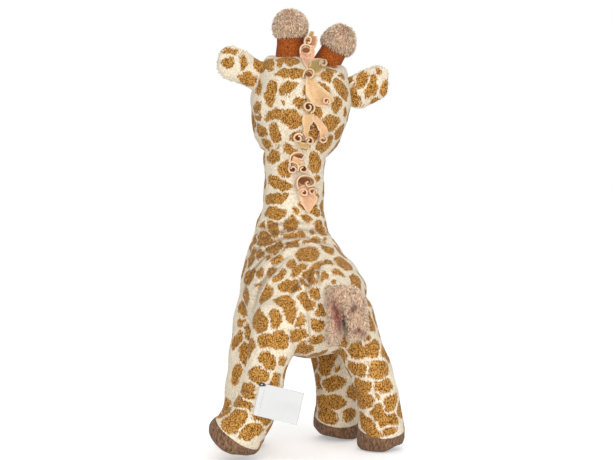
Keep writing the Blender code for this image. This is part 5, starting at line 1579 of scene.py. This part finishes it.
def toned(tree, shader, colour, tone):
    """Feeds a colour to the shader, made lighter or darker by a tone."""
    shaded = add(tree, "ShaderNodeVectorMath", {0: colour, "Scale": tone}, operation="SCALE")
    tree.links.new(shaded.outputs[0], shader.inputs["Base Color"])


def bumped(tree, shader, height, strength, depth):
    bump = add(tree, "ShaderNodeBump", {"Strength": strength, "Distance": depth, "Height": height})
    tree.links.new(bump.outputs[0], shader.inputs["Normal"])


pile_group, given, result = new_group(
    "pile_grain",
    [("Place", "NodeSocketVector", None), ("Fineness", "NodeSocketFloat", 900.0), ("Comb", "NodeSocketFloat", 0.45),
     ("Contrast", "NodeSocketFloat", 0.16), ("Nap", "NodeSocketFloat", 0.06)],
    [("Shade", "NodeSocketFloat"), ("Height", "NodeSocketFloat")],
)
tree, given = pile_group, given.outputs
comb = add(tree, "ShaderNodeCombineXYZ", {0: 1.0, 1: 1.0, 2: given["Comb"]}).outputs[0]
fine = noise(tree, squeezed(tree, given["Place"], comb), given["Fineness"], 3.0, Roughness=0.65)
nap = noise(tree, given["Place"], NAP_SCALE)
grain = calc(tree, "MULTIPLY", stretched(tree, fine, NOISE_LOW, NOISE_HIGH, -1.0, 1.0), given["Contrast"])
lie = calc(tree, "MULTIPLY", stretched(tree, nap, NOISE_LOW, NOISE_HIGH, -1.0, 1.0), given["Nap"])
tree.links.new(calc(tree, "ADD", calc(tree, "ADD", grain, lie), 1.0), result.inputs["Shade"])
tree.links.new(fine, result.inputs["Height"])


def new_material(name, roughness=0.9, sheen=0.15, specular=0.25):
    material = bpy.data.materials.new(name)
    material.use_nodes = True
    shader = material.node_tree.nodes["Principled BSDF"]
    shader.inputs["Roughness"].default_value = roughness
    shader.inputs["Sheen Weight"].default_value = sheen
    shader.inputs["Sheen Roughness"].default_value = 0.5
    shader.inputs["Specular IOR Level"].default_value = specular
    return material, material.node_tree, shader


def grained(tree, shader, colour, fineness=900.0, comb=0.45, contrast=0.16, nap=0.06, bump=0.35, depth=0.6 * MM):
    """Feeds a colour to the shader through the grain of pile, with the bump that goes with it."""
    inputs = {"Place": object_place(tree), "Fineness": fineness, "Comb": comb, "Contrast": contrast, "Nap": nap}
    grain = add(tree, "ShaderNodeGroup", inputs, node_tree=pile_group).outputs
    toned(tree, shader, colour, grain["Shade"])
    bumped(tree, shader, grain["Height"], bump, depth)


# %% Spotted plush
CREAM, BROWN, BROWN_DEEP = (0.76, 0.665, 0.51), (0.56, 0.285, 0.068), (0.15, 0.052, 0.006)
# the last colour is the brown of the shade painted in folds and seams
PAINTED_CREASE_SHADE = (0.15, 0.075, 0.035)
RAGGED_SCALE, RAGGED_MM, PATCH_EDGE = 1050.0, 1.0, (-0.65, 0.5)
FLECK_SCALE, FLECK_LIMITS = 1250.0, (0.40, 0.57)

spotted, tree, shader = new_material("spotted_plush", sheen=0.08, specular=0.12)
place = object_place(tree)
ragged = noise(tree, squeezed(tree, place, (1.0, 1.0, 0.45)), RAGGED_SCALE, Roughness=0.6)
ragged_mm = stretched(tree, ragged, NOISE_LOW, NOISE_HIGH, -RAGGED_MM, RAGGED_MM)
edge = calc(tree, "ADD", kept(tree, "patch"), ragged_mm)
mask = stretched(tree, edge, *PATCH_EDGE, interpolation_type="SMOOTHSTEP")
flecks = stretched(tree, noise(tree, squeezed(tree, place, (1.0, 1.0, 0.75)), FLECK_SCALE, 1.0), *FLECK_LIMITS)
cloth_colour = mixed_colours(tree, mask, CREAM, mixed_colours(tree, flecks, BROWN_DEEP, BROWN))
# painted shade: the cloth is darkened along folds and seams by how deep each point lies in them
crease_shaded = mixed_colours(tree, kept(tree, "crease_shade_depth"), cloth_colour, PAINTED_CREASE_SHADE)
grained(tree, shader, crease_shaded, fineness=1100.0, comb=0.7, contrast=0.26)


# %% Other cloths
# the last is the dark red of the shade painted in the tail's hollows
DYE_SCALE, TUFT_SCALE, HOLLOW_SHADE_RED = 160.0, 420.0, (0.30, 0.075, 0.05)


def plain_pile(name, colour, other, sheen=0.15, **settings):
    """A pile of one dye that wanders between two near shades."""
    material, tree, shader = new_material(name, sheen=sheen)
    wander = noise(tree, object_place(tree), DYE_SCALE)
    grained(tree, shader, mixed_colours(tree, wander, colour, other), **settings)
    return material


def fleece(name, root, tip, deep, contrast):
    """Long pile: painted darker where the strands grow and in tufts between them, as the shade among the strands, pale
    at their tips, and painted a dark red shade in the tail's hollows.
    """
    material, tree, shader = new_material(name, sheen=0.2)
    tuft = noise(tree, object_place(tree), TUFT_SCALE)
    strand = mixed_colours(tree, kept(tree, "strand_tip"), mixed_colours(tree, tuft, deep, root), tip)
    # painted shade: the fleece is darkened to red along the tail's hollows
    shaded = mixed_colours(tree, kept(tree, "hollow_shade"), strand, HOLLOW_SHADE_RED)
    grained(tree, shader, shaded, fineness=760.0, comb=0.6, contrast=contrast, bump=0.15)
    return material


hoof_plush = plain_pile(
    "hoof_plush", (0.24, 0.135, 0.075), (0.14, 0.072, 0.040), fineness=800.0, contrast=0.75, sheen=0.08,
)
muzzle_plush = plain_pile("muzzle_plush", (0.74, 0.60, 0.44), (0.68, 0.52, 0.36))
rust_rib = plain_pile(
    "rust_rib", (0.33, 0.080, 0.009), (0.24, 0.054, 0.006), fineness=1000.0, comb=1.0, contrast=0.8, sheen=0.03,
)
# the colours of a strand's root, its tip, and the tufts between; the darker root and tufts are painted shade among the
# strands
taupe_fleece = fleece("taupe_fleece", (0.68, 0.445, 0.29), (0.96, 0.78, 0.58), (0.32, 0.16, 0.085), 0.7)
tail_fleece = fleece("tail_fleece", (0.74, 0.515, 0.35), (0.98, 0.82, 0.62), (0.38, 0.19, 0.11), 0.75)
white_fleece = fleece("white_fleece", (0.74, 0.66, 0.55), (0.90, 0.86, 0.80), (0.66, 0.56, 0.44), 0.12)

# %% Felt, tape, thread and plastic
# the share of the dye's run from straw to peach to pink to the painted shade of a curl's inside, and its colour
FELT_DYES = (
    (0.25, (0.64, 0.42, 0.19)), (0.40, (0.68, 0.42, 0.22)), (0.68, (0.72, 0.38, 0.25)), (0.74, (0.60, 0.28, 0.16)),
)
FELT_STRAW, FELT_INSIDE_SHADE = (0.40, 0.26, 0.075), (0.22, 0.075, 0.026)
# the painted highlight on a strip's rim, and the painted shade at the foot of a curl
FELT_RIM_HIGHLIGHT, FELT_FOOT_SHADE = (0.88, 0.66, 0.42), (0.26, 0.085, 0.035)


def felt_cloth():
    """Felt dyed straw, peach or pink, with a painted highlight along its edge and painted shade at the foot of a curl.
    """
    material, tree, shader = new_material("felt", roughness=0.95, sheen=0.25)
    ramp = add(tree, "ShaderNodeValToRGB", {"Fac": stretched(tree, kept(tree, "dye"), -1.0, 2.0)})
    ramp.color_ramp.elements[0].color, ramp.color_ramp.elements[1].color = (*FELT_STRAW, 1), (*FELT_INSIDE_SHADE, 1)
    for share, colour in FELT_DYES:
        ramp.color_ramp.elements.new(share).color = (*colour, 1)
    # flat strips keep 0 along their middle; standing ones run from -1 at the foot to 1 at the rim
    edge = kept(tree, "edge")
    # painted highlight towards the rim, painted shade towards the foot
    rim_lit = mixed_colours(tree, stretched(tree, edge, 0.55, 1.0, 0.0, 0.7), ramp.outputs[0], FELT_RIM_HIGHLIGHT)
    foot_shaded = mixed_colours(tree, stretched(tree, edge, -0.05, -0.9, 0.0, 0.9), rim_lit, FELT_FOOT_SHADE)
    grained(tree, shader, foot_shaded, fineness=1300.0, comb=1.0, contrast=0.22, nap=0.1, bump=0.5, depth=0.35 * MM)
    return material


def woven_tape():
    """White tape with the fine ribs of its weave, painted darker in their grooves as shade, and a flat lustre."""
    material, tree, shader = new_material("label_tape", roughness=0.55, sheen=0.1)
    ribs = calc(tree, "SINE", calc(tree, "MULTIPLY", kept(tree, "along"), 14.0))
    height = calc(tree, "ADD", ribs, noise(tree, object_place(tree), 1200.0))
    # painted shade: the tape is darker where the ribs' height is low
    tone = stretched(tree, height, -0.6, 1.6, 0.58, 0.72)
    colour = add(tree, "ShaderNodeCombineColor", {0: tone, 1: tone, 2: tone})
    tree.links.new(colour.outputs[0], shader.inputs["Base Color"])
    bumped(tree, shader, height, 0.2, 0.1 * MM)
    return material


def twisted_thread(name, colour):
    material, tree, shader = new_material(name, roughness=0.6, sheen=0.2)
    twist = {"Vector": object_place(tree), "Scale": 900.0, "Distortion": 1.5}
    ply = add(tree, "ShaderNodeTexWave", twist, bands_direction="DIAGONAL").outputs["Fac"]
    # painted shade: the thread is darker between its plies, where the bump's bands are low
    toned(tree, shader, colour, stretched(tree, ply, to_low=0.75, to_high=1.15))
    bumped(tree, shader, ply, 0.4, 0.15 * MM)
    return material


def moulded_plastic(name, colour, roughness, coat):
    material, tree, shader = new_material(name, roughness=roughness, sheen=0.0, specular=0.3)
    shader.inputs["Coat Weight"].default_value = coat
    scuff = noise(tree, object_place(tree), 500.0, 3.0)
    rough = stretched(tree, scuff, to_low=roughness * 0.8, to_high=roughness * 1.3)
    tree.links.new(rough, shader.inputs["Roughness"])
    toned(tree, shader, colour, stretched(tree, scuff, to_low=0.9, to_high=1.1))
    return material


felt, tape = felt_cloth(), woven_tape()
brown_thread = twisted_thread("brown_thread", (0.09, 0.035, 0.018))
dark_thread = twisted_thread("dark_thread", (0.02, 0.018, 0.017))
pale_thread = twisted_thread("pale_thread", (0.62, 0.60, 0.56))
eye_plastic = moulded_plastic("eye_plastic", (0.012, 0.006, 0.004), 0.15, 0.2)
washer_plastic = moulded_plastic("washer_plastic", (0.70, 0.69, 0.66), 0.4, 0.0)

# %% [markdown]
# ## Putting the pieces on the frame
#
# Each piece is given its material and the frame solids it stands for, and most are attached to the
# body they move with. The skins of the neck and legs and the neck's felt keep their place in the model.

# %% Dress the frame
def cover_with(piece, material):
    piece.data.materials.clear()
    piece.data.materials.append(material)


def dress(piece, material, stands_for):
    cover_with(piece, material)
    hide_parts(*stands_for)


dress(covers["body"], spotted, ["trunk_skin", "trunk_stuffing"])
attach(covers["body"], "trunk")
dress(covers["neck"], spotted, ["neck_skin", "neck_stuffing"])
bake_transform(covers["neck"])
for leg in LEGS:
    place, way = groins[leg]
    dress(covers[leg], spotted, ["leg_" + leg + "_skin", "leg_" + leg + "_stuffing"])
    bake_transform(covers[leg])
    dress(covers["hoof_" + leg], hoof_plush, ["leg_" + leg + "_hoof"])
    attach(covers["hoof_" + leg], "leg_" + leg)
dress(head_cover, spotted, ["head_skin", "head_stuffing"])
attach(head_cover, "head")
dress(muzzle_cover, muzzle_plush, ["muzzle_skin", "muzzle_stuffing"])
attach(muzzle_cover, "head")
for side, sign in SIDES:
    dress(ear_backs[side], spotted, ["ear_" + side + "_back"])
    dress(ear_linings[side], white_fleece, ["ear_" + side + "_lining"])
    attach(ear_backs[side], "ear_" + side)
    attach(ear_linings[side], "ear_" + side)
    dress(horn_stems[side], rust_rib, ["horn_" + side + "_stem", "horn_" + side + "_stuffing"])
    dress(horn_balls[side], taupe_fleece, ["horn_" + side + "_ball"])
    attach(horn_stems[side], "horn_" + side)
    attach(horn_balls[side], "horn_" + side)
dress(tail_cover, tail_fleece, ["tail_roll", "tail_root"])
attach(tail_cover, "tail")
for node, piece in mane_felts.items():
    dress(piece, felt, [node])
    if "head" in node:
        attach(piece, "head")
    elif node == "mane_neck_1":
        on_cloth(296, 171)[0]
        on_cloth(296, 155)[0]
        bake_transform(piece)
    else:
        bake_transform(piece)
dress(label, tape, ["care_label"])
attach(label, "label")
for piece, material in ((label_stitches, pale_thread), (label_knot, dark_thread)):
    cover_with(piece, material)
    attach(piece, "label")
for node, material in (
    ("eye_left", eye_plastic), ("eye_right", eye_plastic), ("eye_washer_left", washer_plastic),
    ("eye_washer_right", washer_plastic), ("nostril_left", brown_thread), ("nostril_right", brown_thread),
    ("mouth_stitch", brown_thread),
):
    cover_with(frame["nodes"][node], material)

# %% [markdown]
# ## Light and floor
#
# A product photograph on white: a large soft lamp above and behind the camera, a weaker one from each
# side, and an even white surround. The floor is pale and keeps the toy's soft shadow.

# %% Studio
def soft_lamp(name, place, size, power):
    lamp = bpy.data.objects.new(name, bpy.data.lights.new(name, "AREA"))
    bpy.context.scene.collection.objects.link(lamp)
    lamp.data.shape, lamp.data.size, lamp.data.energy = "SQUARE", size, power
    lamp.location = place
    lamp.rotation_euler = (Vector(place) - CAMERA_TARGET).to_track_quat("Z", "Y").to_euler()


WORLD_LIGHT, FLOOR_RADIUS, FLOOR_FADE, FLOOR_LIFT = 0.50, 0.8, (0.16, 0.62), 0.34
side_way = toward_camera.cross(UP).normalized()
soft_lamp("key_lamp", CAMERA_TARGET + toward_camera * 1.2 + side_way * 0.1 + UP * 0.7, 1.0, 6.5)
soft_lamp("right_lamp", CAMERA_TARGET + toward_camera * 1.0 - side_way * 0.8 + UP * 0.05, 0.9, 5.6)
soft_lamp("low_lamp", CAMERA_TARGET + toward_camera * 1.3 + side_way * 0.35 - UP * 0.02, 0.7, 4.9)
soft_lamp("far_lamp", CAMERA_TARGET - toward_camera * 1.1 + UP * 1.1, 1.0, 6)

world = bpy.data.worlds.new("studio")
bpy.context.scene.world = world
world.use_nodes = True
tree = world.node_tree
tree.nodes.clear()
path = add(tree, "ShaderNodeLightPath")
seen = calc(tree, "MAXIMUM", path.outputs["Is Camera Ray"], path.outputs["Is Glossy Ray"])
seen = calc(tree, "MAXIMUM", seen, path.outputs["Is Transmission Ray"])
dim = add(tree, "ShaderNodeBackground", {"Color": (1, 1, 1, 1), "Strength": WORLD_LIGHT})
white = add(tree, "ShaderNodeBackground", {"Color": (1, 1, 1, 1), "Strength": 1.0})
mixed = add(tree, "ShaderNodeMixShader", {0: seen, 1: dim.outputs[0], 2: white.outputs[0]})
add(tree, "ShaderNodeOutputWorld", {"Surface": mixed.outputs[0]})

bpy.ops.object.select_all(action="DESELECT")
bpy.ops.mesh.primitive_circle_add(vertices=96, radius=FLOOR_RADIUS, fill_type="NGON", location=(0, 0, 0))
floor = bpy.context.object
floor.name = "floor"
floor_paper, tree, shader = new_material("floor_paper", roughness=0.8, sheen=0.0)
shader.inputs["Base Color"].default_value = (0.9, 0.9, 0.9, 1)
away = add(tree, "ShaderNodeVectorMath", {0: object_place(tree)}, operation="LENGTH")
fading = stretched(tree, away.outputs["Value"], *FLOOR_FADE, interpolation_type="SMOOTHSTEP")
clear = add(tree, "ShaderNodeBsdfTransparent")
path = add(tree, "ShaderNodeLightPath")
lift = calc(tree, "MULTIPLY", path.outputs["Is Camera Ray"], FLOOR_LIFT)
lifted = add(tree, "ShaderNodeEmission", {"Color": (1, 1, 1, 1), "Strength": lift})
paper = add(tree, "ShaderNodeAddShader", {0: shader.outputs[0], 1: lifted.outputs[0]})
faded = add(tree, "ShaderNodeMixShader", {0: fading, 1: paper.outputs[0], 2: clear.outputs[0]})
tree.links.new(faded.outputs[0], tree.nodes["Material Output"].inputs["Surface"])
floor.data.materials.append(floor_paper)
bpy.context.scene.view_settings.view_transform = "Standard"
